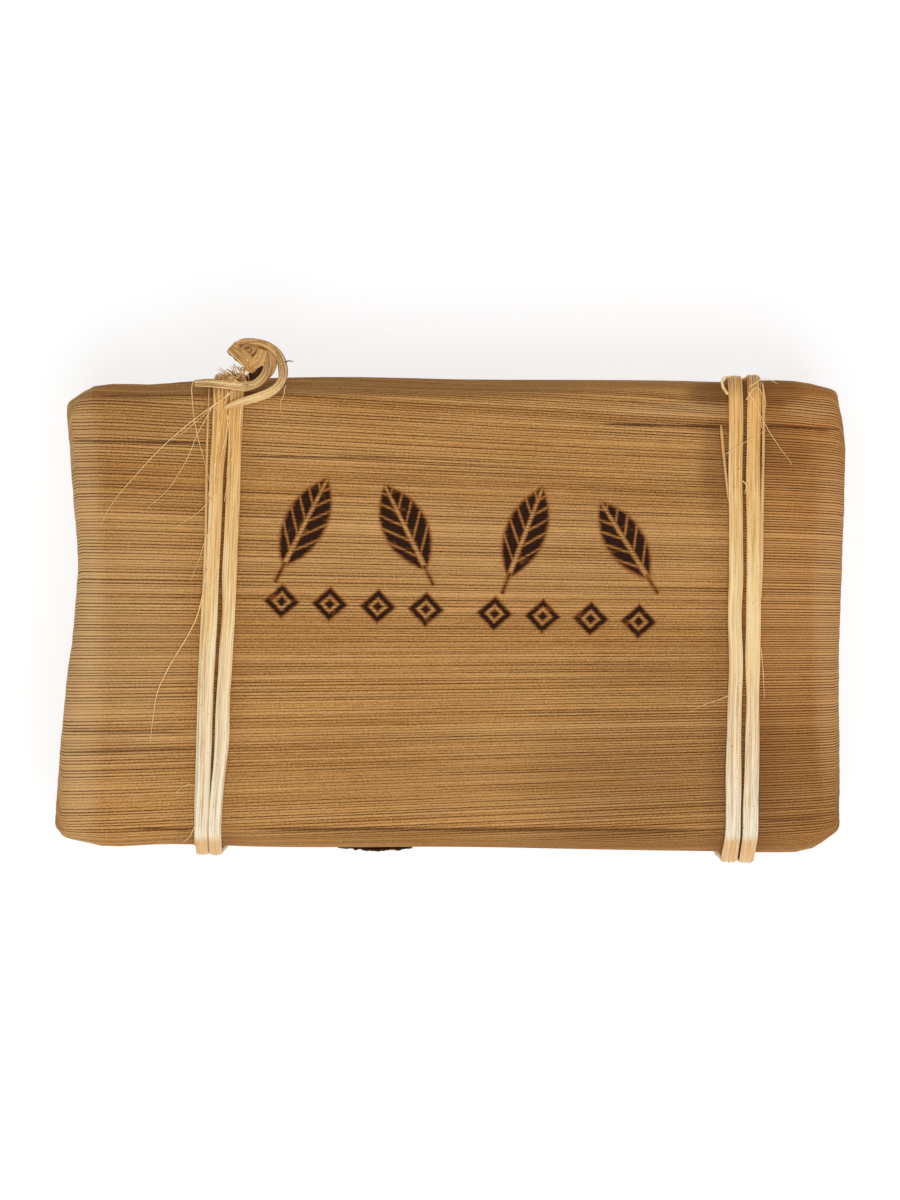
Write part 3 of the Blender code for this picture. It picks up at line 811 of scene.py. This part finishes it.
def arcPlaces(centreY, centreZ, radius, start, end, steps):
    angles = np.radians(np.linspace(start, end, steps + 1))
    out = np.stack((np.zeros_like(angles), np.cos(angles), np.sin(angles)), 1)
    return np.array((0, centreY, centreZ)) + out * radius, out


def bowAcross(xKnot, y):
    # how far a strand leaves its straight line across the face, in mm
    if xKnot > 0:
        return 0.6 * smooth(-40, 20, -y) * (1 - smooth(42, 48, -y))
    return -0.75 * smooth(18, 41, -y) if xKnot > -44 else 0 * y


def girthLine(xKnot, xFar, count):
    # middle line of a strand round the brick, starting on the back: back, knot side, face, far side
    standOff = tieForm["gap"] + tieForm["thick"] / 2
    knotY = edgeReach(brick["topEdge"], xKnot) + standOff
    farY = edgeReach(brick["bottomEdge"], xFar) - standOff - tieForm["slack"]
    faceTurn, backTurn = brick["faceRoll"] + standOff, brick["backRoll"] + standOff
    faceZ = brick["faceHeight"] - tieForm["dent"] + standOff + tieForm["bow"] - faceTurn
    backZ = tieForm["thick"] / 2 + backTurn
    knotTurn, farTurn = knotY - faceTurn, farY + faceTurn

    def slant(y):
        return xKnot + (xFar - xKnot) * np.clip((knotTurn - y) / (knotTurn - farTurn), 0, 1)

    faceY = np.linspace(knotTurn, farTurn, 42)[1:-1]
    faceX = slant(faceY)
    top = faceTop(faceX, faceY) + standOff
    parts = [arcPlaces(knotY - backTurn, backZ, backTurn, 270, 360, 10),
             arcPlaces(knotTurn, faceZ, faceTurn, 0, 90, 12),
             (np.stack((faceX, faceY, top), 1), np.tile((0.0, 0, 1), (len(faceY), 1))),
             arcPlaces(farTurn, faceZ, faceTurn, 90, 180, 12),
             arcPlaces(farY + backTurn, backZ, backTurn, 180, 270, 10)]
    places = np.concatenate([part[0] for part in parts])
    outwards = np.concatenate([part[1] for part in parts])
    places[:, 0] = slant(places[:, 1]) + bowAcross(xKnot, places[:, 1])
    # start and end half way along the back
    mid = (places[0] + places[-1]) / 2
    places = np.vstack((mid, places, mid))
    outwards = np.vstack(((0, 0, -1), outwards, (0, 0, -1)))
    distance = pathLength(places)
    wanted = np.linspace(0, distance[-1], count + 1)[:-1]
    resample = [np.interp(wanted, distance, part) for part in (*places.T, *outwards.T)]
    return np.stack(resample[:3], 1), np.stack(resample[3:], 1), wanted


strandForm = {"frames": 300, "fibres": 22, "groove": 0.06, "press": 0.32, "shoulder": 0.3}


def stripSection(widths, crownLine, grooves, thick, press, shoulder, flank=1.0):
    # outline of a strip for every frame: two inner corners, then the outer side fibre by fibre;
    # flank is as high as its side corners may stand
    spots = np.linspace(-1, 1, grooves.shape[0])
    edge = 1 - np.clip(1 - np.abs(spots), 0, shoulder) / shoulder
    base = -thick / 2 - press
    side = min(base + 0.5, flank)
    sections = []
    for index, width in enumerate(widths):
        u = spots * width / 2
        v = thick / 2 - edge**2 * shoulder * 0.9 + grooves[:, index] * (1 - edge * 0.5)
        v = np.maximum(v + crownLine * (1 - spots**2), -thick / 2)
        outline = [(-width / 2 + 0.15, base), (width / 2 - 0.15, base), (width / 2, side)]
        outline += [(float(a), float(b)) for a, b in zip(u[::-1], v[::-1])]
        outline += [(-width / 2, side)]
        sections.append(outline)
    return sections


def makeStrand(name, node, seed, surface):
    chance = np.random.default_rng(seed)
    count = strandForm["frames"]
    places, outwards, along = girthLine(*ties[node], count)
    wobble = waver(chance, 1, count, 26, 0.10)[0] * (np.sin(np.linspace(0, math.pi, count)) ** 0.3)
    places[:, 0] += wobble
    widths = tieForm["width"] * (1 + waver(chance, 1, count, 30, 0.035)[0])
    widths += (0.2 if ties[node][0] > 0 else -0.2) * smooth(15, 40, -places[:, 1])
    grooves = waver(chance, strandForm["fibres"], count, 24, strandForm["groove"])
    grooves += chance.normal(0, strandForm["groove"] * 0.9, (strandForm["fibres"], 1))
    sections = stripSection(widths, 0.06, grooves, tieForm["thick"], strandForm["press"],
                            strandForm["shoulder"])
    bm = bmesh.new()
    sweep(bm, framesAlong(places, outwards, True), sections, True, along)
    return finishPiece(name, bm, surface, "split_bamboo", node)


stripLook = {
    "cream": (255, 246, 220), "straw": (255, 219, 153), "golden": (244, 190, 110), "pale": (255, 250, 226),
    "line": (186, 122, 58), "farLine": (224, 168, 98), "brown": (124, 70, 28), "amber": (222, 156, 56),
    "rough": 0.5,
}
# the strips' materials: how golden they are, how strong their lines are, and how much painted shadow and
# brown flecking they have
stripKinds = {
    "splitBamboo": (0.0, 0.8, 0.0), "paleBamboo": (0.0, 0.7, 0.0),
    "knotBamboo": (-0.34, 0.75, 0.25), "budBamboo": (-0.1, 0.8, 0.5),
}


def stripPaint(name):
    # split bamboo: cream at the far side, golden at the knot side, with fibre lines along it
    warmth, lines, toneAndPaintedLight = stripKinds[name]
    paint = paintBox(name)
    x, y, z = paint.place()
    along, across = paint.mark("along"), paint.mark("across")
    fibres = paint.noise((along * 0.03, across * 4.5, x * 0.05), 3.0, 0.7)
    fine = paint.noise((along * 0.1, across * 14.0, 4.0), 2.0, 0.6)
    patches = paint.noise((along * 0.05, across, x * 0.07 + 9.0), 3.0, 0.6)
    specks = paint.noise((along * 1.6, across * 5.0, x), 1.0, 0.5)
    golden = (y + 46.0) / 92.0 + (patches - 0.5) * 0.7 + warmth
    stops = ((0.05, stripLook["cream"]), (0.5, stripLook["straw"]), (0.95, stripLook["golden"]))
    colour = paint.ramp(golden, *stops)
    lineShade = paint.blend(paint.fade(y, -36.0, 24.0), stripLook["farLine"], stripLook["line"])
    # amber where a strand turns down the far side
    turn = paint.fade(y, -43.0, -45.0)
    turn = turn * (paint.fade(fine + fibres, 0.9, 1.1) * 0.7 + 0.2) * (paint.fade(z, 13.0, 27.0) * 0.7 + 0.3)
    bend = paint.fade(y, 42.0, 46.0) * (1 - toneAndPaintedLight * 0.4)
    flecks = paint.fade(fine + (fibres - 0.5) * 0.8, 0.54, 0.38) * (bend * 0.8 + 0.14)
    layers = [
        (paint.fade(fibres, 0.52, 0.7) * 0.6, stripLook["pale"]),
        (paint.fade(fibres + (fine - 0.5) * 0.9, 0.49, 0.34) * lines, lineShade),
        (turn, stripLook["amber"]),
    ]
    if toneAndPaintedLight:
        # painted shadow in patches, with brown flecks, on the knot's strips
        shadow = paint.noise((x * 0.55, y * 0.55, 6.0), 3.0, 0.6)
        layers.append((paint.fade(shadow, 0.46, 0.66) * toneAndPaintedLight, stripLook["line"]))
        layers.append((paint.fade(fine, 0.5, 0.36) * toneAndPaintedLight * 0.7, stripLook["brown"]))
    layers.append((flecks, stripLook["brown"]))
    layers.append((paint.fade(specks, 0.7, 0.78) * 0.7, stripLook["brown"]))
    layers.append((paint.fade(z, 20.0, 4.0) * 0.5, stripLook["golden"]))
    for share, tint in layers:
        colour = paint.blend(share, colour, tint)
    return paint.finish(colour, (fine - 0.5) * 0.25 + stripLook["rough"], 0.15, fibres * 1.3 + fine)


hairLook = {
    "tuftFibre": ((176, 124, 62), (244, 206, 138)), "looseFibre": ((250, 204, 126), (255, 230, 172)),
    "rough": 0.5,
}


def hairPaint(name):
    paint = paintBox(name)
    x, y = paint.place()[:2]
    change = paint.fade(paint.noise((x * 1.1, y * 1.1), 2.0, 0.5), 0.35, 0.65)
    return paint.finish(paint.blend(change, *hairLook[name]), hairLook["rough"])


# Smooth routes through listed points

def route(points, steps):
    knots = np.asarray(points, float)
    knots = np.vstack((2 * knots[0] - knots[1], knots, 2 * knots[-1] - knots[-2]))
    t = (np.arange(steps) / steps)[:, None]
    runs = [(b * 2 + (c - a) * t + (a * 2 - b * 5 + c * 4 - d) * t**2 + (b * 3 - a - c * 3 + d) * t**3) / 2
            for a, b, c, d in zip(knots, knots[1:], knots[2:], knots[3:])]
    return np.vstack((*runs, knots[-2]))


def pixelRoute(points, steps):
    # through points of the photograph's frame, each with a height in mm or else at height 0
    return route([(*atPixel(px, py), *(height or (0.0,))) for px, py, *height in points], steps)


# The left tie's knot

# Each strip has points as (x, y) in the photograph's frame and a height in mm, then its width, thickness,
# outward tilt, steps between points, and how pointed its start and end are
knotForm = {
    "knotLoop": ((
        ((226, 408, 30.4), (235, 404.5, 30.6), (246, 401, 30.6), (257.5, 397.5, 30.5), (270, 392.5, 30.4),
         (278.5, 386, 30.2), (282.6, 378, 29.8), (282.8, 368, 29.2), (280, 358, 28.6), (274.5, 350.5, 28.3),
         (266.5, 345, 28.3), (258, 342.5, 28.3)), 1.95, 0.62, 0.55, 8, (0.5, 0.1)),),
    "knotStub": ((
        ((195, 383.8, 29.9), (209, 383.2, 30.3), (224, 384.4, 30.5), (238, 386, 30.5), (249, 386.2, 30.4),
         (258.5, 382.5, 30.0), (265.2, 375, 29.5), (268, 365.5, 29.0), (267.6, 356.5, 28.7),
         (263, 349, 28.6)), 2.0, 0.6, 0.35, 8, (0.3, 0.2)),),
    "knotBud": (
        # the beak and its layer
        (((231.5, 346.5, 28.4), (237.5, 352, 28.9), (243.5, 358, 29.2), (249, 364.5, 29.0),
          (253, 371, 28.2)), 2.9, 0.9, 0.6, 7, (0.1, 0.55)),
        (((233.5, 344.8, 28.9), (240, 349.5, 29.5), (247, 355.5, 29.8), (253, 361.5, 29.6)),
         1.5, 0.5, 0.6, 7, (0.2, 0.5)),
        # the strip over them
        (((236, 343.8, 29.0), (244, 341.6, 29.5), (254, 341.8, 29.6), (264, 343.8, 29.4),
          (272, 348.5, 29.2), (277, 356, 29.0)), 1.35, 0.6, 0.6, 7, (0.5, 0.4)),
        # the small curl, and the bud's core with its lid
        (((243.5, 352.5, 29.7), (242.3, 349.3, 29.9), (245, 346.3, 30.0), (249.5, 346, 30.0),
          (253.3, 348.6, 29.9), (253, 352, 29.8), (249.5, 353.8, 29.7)), 0.55, 0.5, 0.6, 7, (0.3, 0.4)),
        (((237, 349.5, 28.6), (247, 350, 28.9), (257, 350.5, 28.9), (267, 352, 28.6)),
         3.1, 0.5, 0.6, 7, (0.3, 0.2)),
        (((246.5, 350.8, 29.6), (251.5, 350.2, 29.7)), 0.7, 0.3, 0.6, 7, (0.5, 0.5)),
        # the ball and the band beside it
        (((250.5, 365.5, 28.9), (255.5, 362.5, 29.5), (260.5, 357, 29.6), (262.5, 350.5, 29.2)),
         2.5, 1.3, 0.6, 7, (0.5, 0.3)),
        (((263, 380.5, 28.2), (270.5, 373, 28.4), (274, 364.5, 28.4), (273.6, 356, 28.4),
          (270, 349, 28.4)), 1.1, 0.6, 0.6, 7, (0.4, 0.2)),
    ),
    # a dark sheet under the knot that stands in for the shadow in its pocket
    "knotPaintedShadow": ((
        ((245.5, 380.5, 27.2), (252, 376.5, 27.6), (258.5, 373, 27.8), (264, 367, 27.6)),
        2.1, 0.8, 0.4, 7, (0.3, 0.3)),),
}
pocketFibre = {"points": ((284, 362.5, 29.0), (289, 361, 29.2), (293.5, 361.6, 29.2)), "thick": 0.3}
tuft = {"fibres": 34, "root": (236, 251, 383.5), "tips": (216, 248), "rise": (371, 364.5), "thick": 0.24,
        "overFibres": 9, "overThick": 0.17}


def tiltedOut(places, tilt):
    away = places - places.mean(0)
    away /= np.maximum(1e-6, np.linalg.norm(away, axis=1))[:, None]
    return np.array((0, 0, 1.0)) + away * tilt


def addStrip(bm, chance, points, width, thick, tilt, steps, pointed):
    places = pixelRoute(points, steps)
    count = len(places)
    share = np.linspace(0, 1, count)
    widths = width * (1 + waver(chance, 1, count, 8, 0.06)[0])
    widths *= 1 - pointed[0] * (1 - share) ** 5 - pointed[1] * share**5
    grooves = waver(chance, 15, count, 6, 0.05) + chance.normal(0, 0.05, (15, 1))
    sections = stripSection(widths, 0.08, grooves, thick, 0.0, 0.25, thick * 0.2)
    sweepOpen(bm, places, tiltedOut(places, tilt), sections)


def addFibre(bm, places, thick):
    # a round fibre that thins towards its end
    angles = np.linspace(0, 2 * math.pi, 6)[:-1]
    sizes = thick / 2 * (1 - 0.6 * np.linspace(0, 1, len(places)) ** 2)
    sections = [[(math.cos(a) * size, math.sin(a) * size) for a in angles] for size in sizes]
    sweepOpen(bm, places, (0.0, 0.0, 1.0), sections)


def makeTuft(surface):
    # frayed ends sticking out from behind the stub, and a few that lie over it
    chance = np.random.default_rng(77)
    bm = bmesh.new()
    (rootLow, rootHigh, rootY), tips, rises = tuft["root"], tuft["tips"], tuft["rise"]
    for number in range(tuft["fibres"]):
        share = (number + chance.uniform()) / tuft["fibres"]
        root = rootLow + (rootHigh - rootLow) * chance.uniform()
        tip = tips[0] + (tips[1] - tips[0]) * share
        rise = rises[0] + (rises[1] - rises[0]) * share + chance.normal(0, 2.0)
        height = chance.uniform(28.2, 30.0)
        bend = chance.normal(0, 1.6)
        middle = ((root + tip) / 2 + bend, (rootY + rise) / 2 + chance.normal(0, 1.0), height + 0.3)
        points = ((root, rootY, height - 0.6), middle, (tip, rise, height))
        addFibre(bm, pixelRoute(points, 6), tuft["thick"] * chance.uniform(0.7, 1.5))
    for number in range(tuft["overFibres"]):
        start = (218 + number * 2.5 + chance.normal(0, 1), 375 + chance.normal(0, 2.5), 30.6)
        middle = (234 + chance.normal(0, 2), 381 + chance.normal(0, 1.5), 31.0)
        finish = (248 + number + chance.normal(0, 2), 386 + chance.normal(0, 2), 30.9)
        addFibre(bm, pixelRoute((start, middle, finish), 6), tuft["overThick"])
    return finishPiece("knotTuft", bm, surface, "twisted_bamboo")


def makeKnot(surfaces):
    chance = np.random.default_rng(41)
    for name, strips in knotForm.items():
        bm = bmesh.new()
        for strip in strips:
            addStrip(bm, chance, *strip)
        if name == "knotPaintedShadow":
            addFibre(bm, pixelRoute(pocketFibre["points"], 6), pocketFibre["thick"])
        nodes = ("left_tie_knot",) if name == "knotLoop" else ()
        finishPiece(name, bm, surfaces[name], "twisted_bamboo", *nodes)


# Loose fibres

hairForm = {"steps": 10, "thicker": 1.25, "waver": 0.05, "tieHeight": 1.15, "clear": 0.1}


def overTies(x, y):
    # height of what lies uppermost at a place on the face
    top = faceTop(x, y)
    for line in tieLines(y):
        top = top + hairForm["tieHeight"] * (1 - smooth(1.3, 2.4, np.abs(x - line)))
    return top


# Points in the photograph's frame, and the fibre's thickness in mm
hairs = (
    (((236, 391), (196, 418), (163, 446), (138, 473), (116, 498), (100, 526)), 0.16),
    (((212, 408), (197, 435), (186, 461), (169, 488), (146, 509)), 0.13),
    (((193, 382), (192, 396), (197, 435), (206, 466), (212, 491)), 0.14),
    (((212, 498), (197, 513), (176, 527)), 0.12),
    (((211, 529), (206, 540), (191, 581)), 0.12),
    (((207, 570), (199, 610), (189, 634), (166, 673), (156, 699), (150, 743)), 0.22),
    (((196, 785), (186, 785), (176, 792)), 0.12),
    (((195, 826), (190, 836), (183, 843)), 0.12),
    (((286, 385), (283, 396), (280, 406), (283, 416)), 0.12),
    (((760, 415), (768, 429), (779, 446), (792, 465)), 0.14),
    (((724, 455), (744, 443), (768, 429)), 0.12),
    (((749, 387), (759, 381), (767, 379), (778, 384)), 0.13),
    (((762, 383), (765, 402), (763, 449)), 0.14),
    (((728, 696), (706, 704), (687, 712)), 0.12),
    (((761, 647), (763, 673), (764, 699)), 0.14),
    (((233, 392), (227, 430), (219, 470), (212, 505)), 0.17),
    (((229, 390), (222, 420), (217, 450), (214, 474)), 0.15),
    (((239, 396), (237, 430), (230, 470), (225, 502)), 0.17),
    (((224, 400), (230, 436), (227, 480)), 0.15),
    (((214, 392), (220, 430), (214, 470), (208, 500)), 0.15),
    (((236, 388), (212, 408), (190, 427), (172, 441)), 0.13),
    (((727, 394), (722.5, 386), (723, 379), (730, 376.5)), 0.5),
    (((748, 392), (754, 402), (759, 414), (761, 428)), 0.2),
    (((746, 400), (750, 393), (757, 388), (763, 396)), 0.16),
    (((742, 481), (746, 486), (744, 494)), 0.2),
)


def addHair(bm, pixels, thick, chance):
    places = pixelRoute(pixels, hairForm["steps"])
    places[:, :2] += waver(chance, 2, len(places), 8, hairForm["waver"]).T
    places[:, 2] = overTies(places[:, 0], places[:, 1])
    for _ in range(6):
        places[1:-1, 2] = np.maximum(places[1:-1, 2], (places[:-2, 2] + places[2:, 2]) / 2)
    places[:, 2] += thick / 2 + hairForm["clear"]
    addFibre(bm, places, thick)


def makeHairs(surface):
    chance = np.random.default_rng(5)
    bm = bmesh.new()
    for pixels, thick in hairs:
        addHair(bm, pixels, thick * hairForm["thicker"], chance)
    return finishPiece("looseFibres", bm, surface, "split_bamboo")


# Slivers split off the strands, as lines beside them on the face

sliverForm = {"steps": 8, "fibres": 5, "thick": 0.45, "clear": 0.3, "groove": 0.03, "press": 0.2}

# Points in the photograph's frame, and the sliver's width in mm
slivers = (
    (((209, 386), (207, 450), (205, 560), (199, 690), (196, 800), (195, 846)), 0.55),
    (((763.3, 384), (763.6, 440), (762, 520), (761, 598)), 0.6),
    (((721, 424), (723, 449), (729, 504)), 0.5),
    (((229, 388), (227, 430), (222, 480), (220, 540)), 0.45),
)


def makeSlivers(surface):
    chance = np.random.default_rng(15)
    bm = bmesh.new()
    for pixels, width in slivers:
        places = pixelRoute(pixels, sliverForm["steps"])
        places[:, 2] = faceTop(places[:, 0], places[:, 1]) + sliverForm["clear"]
        count = len(places)
        widths = width * (1 + waver(chance, 1, count, 9, 0.12)[0])
        widths *= 1 - 0.7 * np.abs(np.linspace(-1, 1, count)) ** 6
        grooves = waver(chance, sliverForm["fibres"], count, 8, sliverForm["groove"])
        sections = stripSection(widths, 0.1, grooves, sliverForm["thick"], sliverForm["press"], 0.3)
        sweepOpen(bm, places, (0.0, 0.0, 1.0), sections)
    return finishPiece("strandSlivers", bm, surface, "split_bamboo")


# Tucked tails of the right tie, on the back

tailForm = {"length": 18.0, "width": 2.6, "thick": 0.55, "y": 12.0, "angle": 24.0, "frames": 34, "lift": 0.35}


def makeTail(name, node, side, seed, surface):
    chance = np.random.default_rng(seed)
    angle, count = math.radians(tailForm["angle"]), tailForm["frames"]
    along = np.array((math.cos(angle), math.sin(angle), 0))
    middle = np.array((tieMiddles(tailForm["y"])[1], tailForm["y"], tieForm["thick"] - tailForm["thick"] / 2))
    distance = np.linspace(0.5, tailForm["length"], count)
    places = middle + along * side * distance[:, None]
    widths = tailForm["width"] * (1 + waver(chance, 1, count, 8, 0.04)[0])
    grooves = waver(chance, 13, count, 6, 0.04) + chance.normal(0, 0.03, (13, 1))
    sections = stripSection(widths, 0.0, grooves, tailForm["thick"], 0.2, 0.2)
    places[:, 2] += np.where(distance < 5, tailForm["lift"], 0.0)
    bm = bmesh.new()
    sweep(bm, framesAlong(places, (0.0, 0.0, -1.0), False), sections, False, distance)
    return finishPiece(name, bm, surface, "split_bamboo", node)


# Torn edge of the inner sheath under the far side

lipForm = {"start": -22.5, "length": 15.0, "height": 20.0, "depth": 6.0, "reach": 0.9, "thick": 0.22,
           "columns": 70, "rows": 12}


def makeLip(surface):
    chance = np.random.default_rng(23)
    bm, column, row = gridSheet(lipForm["columns"], lipForm["rows"])
    share, down = column / lipForm["columns"], row / lipForm["rows"]
    x = lipForm["start"] + lipForm["length"] * share
    ragged = sum(waver(chance, 1, lipForm["columns"] + 1, knots, size)[0][column]
                 for knots, size in ((16, 0.16), (50, 0.07)))
    swell = np.sin(math.pi * np.clip(share, 0.001, 0.999)) ** 0.6
    reach = (0.25 + 0.75 * swell) * lipForm["reach"] + ragged * 0.6 * down
    y = edgeReach(brick["bottomEdge"], x) - 0.15 - reach * down**1.5 + 0.6 * (1 - down)
    z = lipForm["height"] - lipForm["depth"] * (0.35 + 0.65 * swell) * (1 - down) + ragged * 0.8 * down
    placeVerts(bm, toFrame(np.stack((x, y, z), 1)), along=x, across=z * 2.0, vein=0.5 * (row % 2),
               tone=0.5 + ragged, furrow=0 * x)
    thicken(bm, np.tile((0.0, -1, 0), (len(x), 1)), lipForm["thick"])
    return finishPiece("innerSheathLip", bm, surface, "inner_sheath", "inner_sheath_lip")


# dark brown of the inner sheath; the same paint makes the dark sheet that stands in for the shadow in the
# knot's pocket
innerSheathAndShadowLook = {"dark": (44, 22, 8), "light": (112, 70, 34), "rough": 0.65}


def innerSheathAndShadowPaint(name):
    paint = paintBox(name)
    streaks = paint.noise((paint.mark("along") * 0.4, paint.mark("across") * 1.5), 3.0, 0.6)
    colour = paint.blend(paint.fade(streaks, 0.35, 0.7), innerSheathAndShadowLook["dark"], innerSheathAndShadowLook["light"])
    return paint.finish(colour, streaks * 0.2 + innerSheathAndShadowLook["rough"], relief=streaks, strength=0.6)


# Floor, light and camera

studio = {"faceRadiance": 1.0, "keyShare": 0.5, "keySize": 1.2, "keyPlace": (0.1, -0.6, 1.2), "glow": 0.75,
          "floor": ((152, 152, 152), (156, 156, 156)), "floorSize": 3.0, "cameraHeight": 0.9, "sensor": 36.0}


def makeFloor():
    paint = paintBox("paleFloor")
    x, y = paint.place()[:2]
    cloud = paint.noise((x * 0.01, y * 0.01), 2.0, 0.5)
    surface = paint.finish(paint.blend(cloud, *studio["floor"]), 0.9)
    paint.feed(paint.shader.inputs["Emission Color"], (1, 1, 1, 1))
    paint.feed(paint.shader.inputs["Emission Strength"], studio["glow"])
    bm = bmesh.new()
    bmesh.ops.create_grid(bm, x_segments=1, y_segments=1, size=studio["floorSize"])
    addMesh("floor", bm, surface)


def makeLight():
    world = bpy.data.worlds.new("studioWorld")
    world.use_nodes = True
    sky = world.node_tree.nodes["Background"]
    sky.inputs["Color"].default_value = (1, 1, 1, 1)
    sky.inputs["Strength"].default_value = studio["faceRadiance"] * (1 - studio["keyShare"])
    bpy.context.scene.world = world
    place = Vector(studio["keyPlace"])
    key = bpy.data.lights.new("key", "AREA")
    key.shape = "DISK"
    key.size = studio["keySize"]
    facing = place.normalized().z
    key.energy = studio["faceRadiance"] * studio["keyShare"] * math.pi**2 * place.length_squared / facing
    lamp = addObject("key", key)
    lamp.location = place
    lamp.rotation_euler = (-place).to_track_quat("-Z", "Y").to_euler()


def makeCamera():
    # straight down on the face, with the photograph's frame
    wide, tall = photo["frame"]
    lens = bpy.data.cameras.new("camera")
    lens.sensor_width = studio["sensor"]
    lens.lens = studio["sensor"] * studio["cameraHeight"] / (tall * photo["pixel"] * mm)
    camera = addObject("camera", lens)
    x, y, z = toFrame((*atPixel(wide / 2, tall / 2), brick["faceHeight"]))
    camera.location = (x, y, z + studio["cameraHeight"])
    bpy.context.scene.camera = camera
    bpy.context.scene.view_settings.view_transform = "Standard"


def main():
    makeCamera()
    makeLight()
    makeFloor()
    print("stage ready")
    marked = sheathPaint("sheathFace", True)
    plain = sheathPaint("sheathPlain", False)
    makeBody(marked)
    makeEndFlap("leftEndFlap", -1, flapForm["leftEdge"], 17, plain)
    makeEndFlap("rightEndFlap", 1, flapForm["rightEdge"], 19, plain)
    makeBackFlap(plain)
    print("sheath wrapped")
    strips, rightStrips, knot, bud = (stripPaint(name) for name in stripKinds)
    makeStrand("leftOuterStrand", "left_tie_outer_strand", 50, strips)
    makeStrand("leftInnerStrand", "left_tie_inner_strand", 51, strips)
    makeStrand("rightInnerStrand", "right_tie_inner_strand", 52, rightStrips)
    makeStrand("rightOuterStrand", "right_tie_outer_strand", 53, rightStrips)
    makeTail("rightInnerTail", "right_tie_inner_tail", -1, 61, rightStrips)
    makeTail("rightOuterTail", "right_tie_outer_tail", 1, 62, rightStrips)
    makeSlivers(strips)
    makeKnot({"knotLoop": knot, "knotStub": knot, "knotBud": bud, "knotPaintedShadow": innerSheathAndShadowPaint("knotShade")})
    makeTuft(hairPaint("tuftFibre"))
    makeHairs(hairPaint("looseFibre"))
    print("ties and knot made")
    makeLip(innerSheathAndShadowPaint("innerSheath"))
    print("all pieces made")


main()
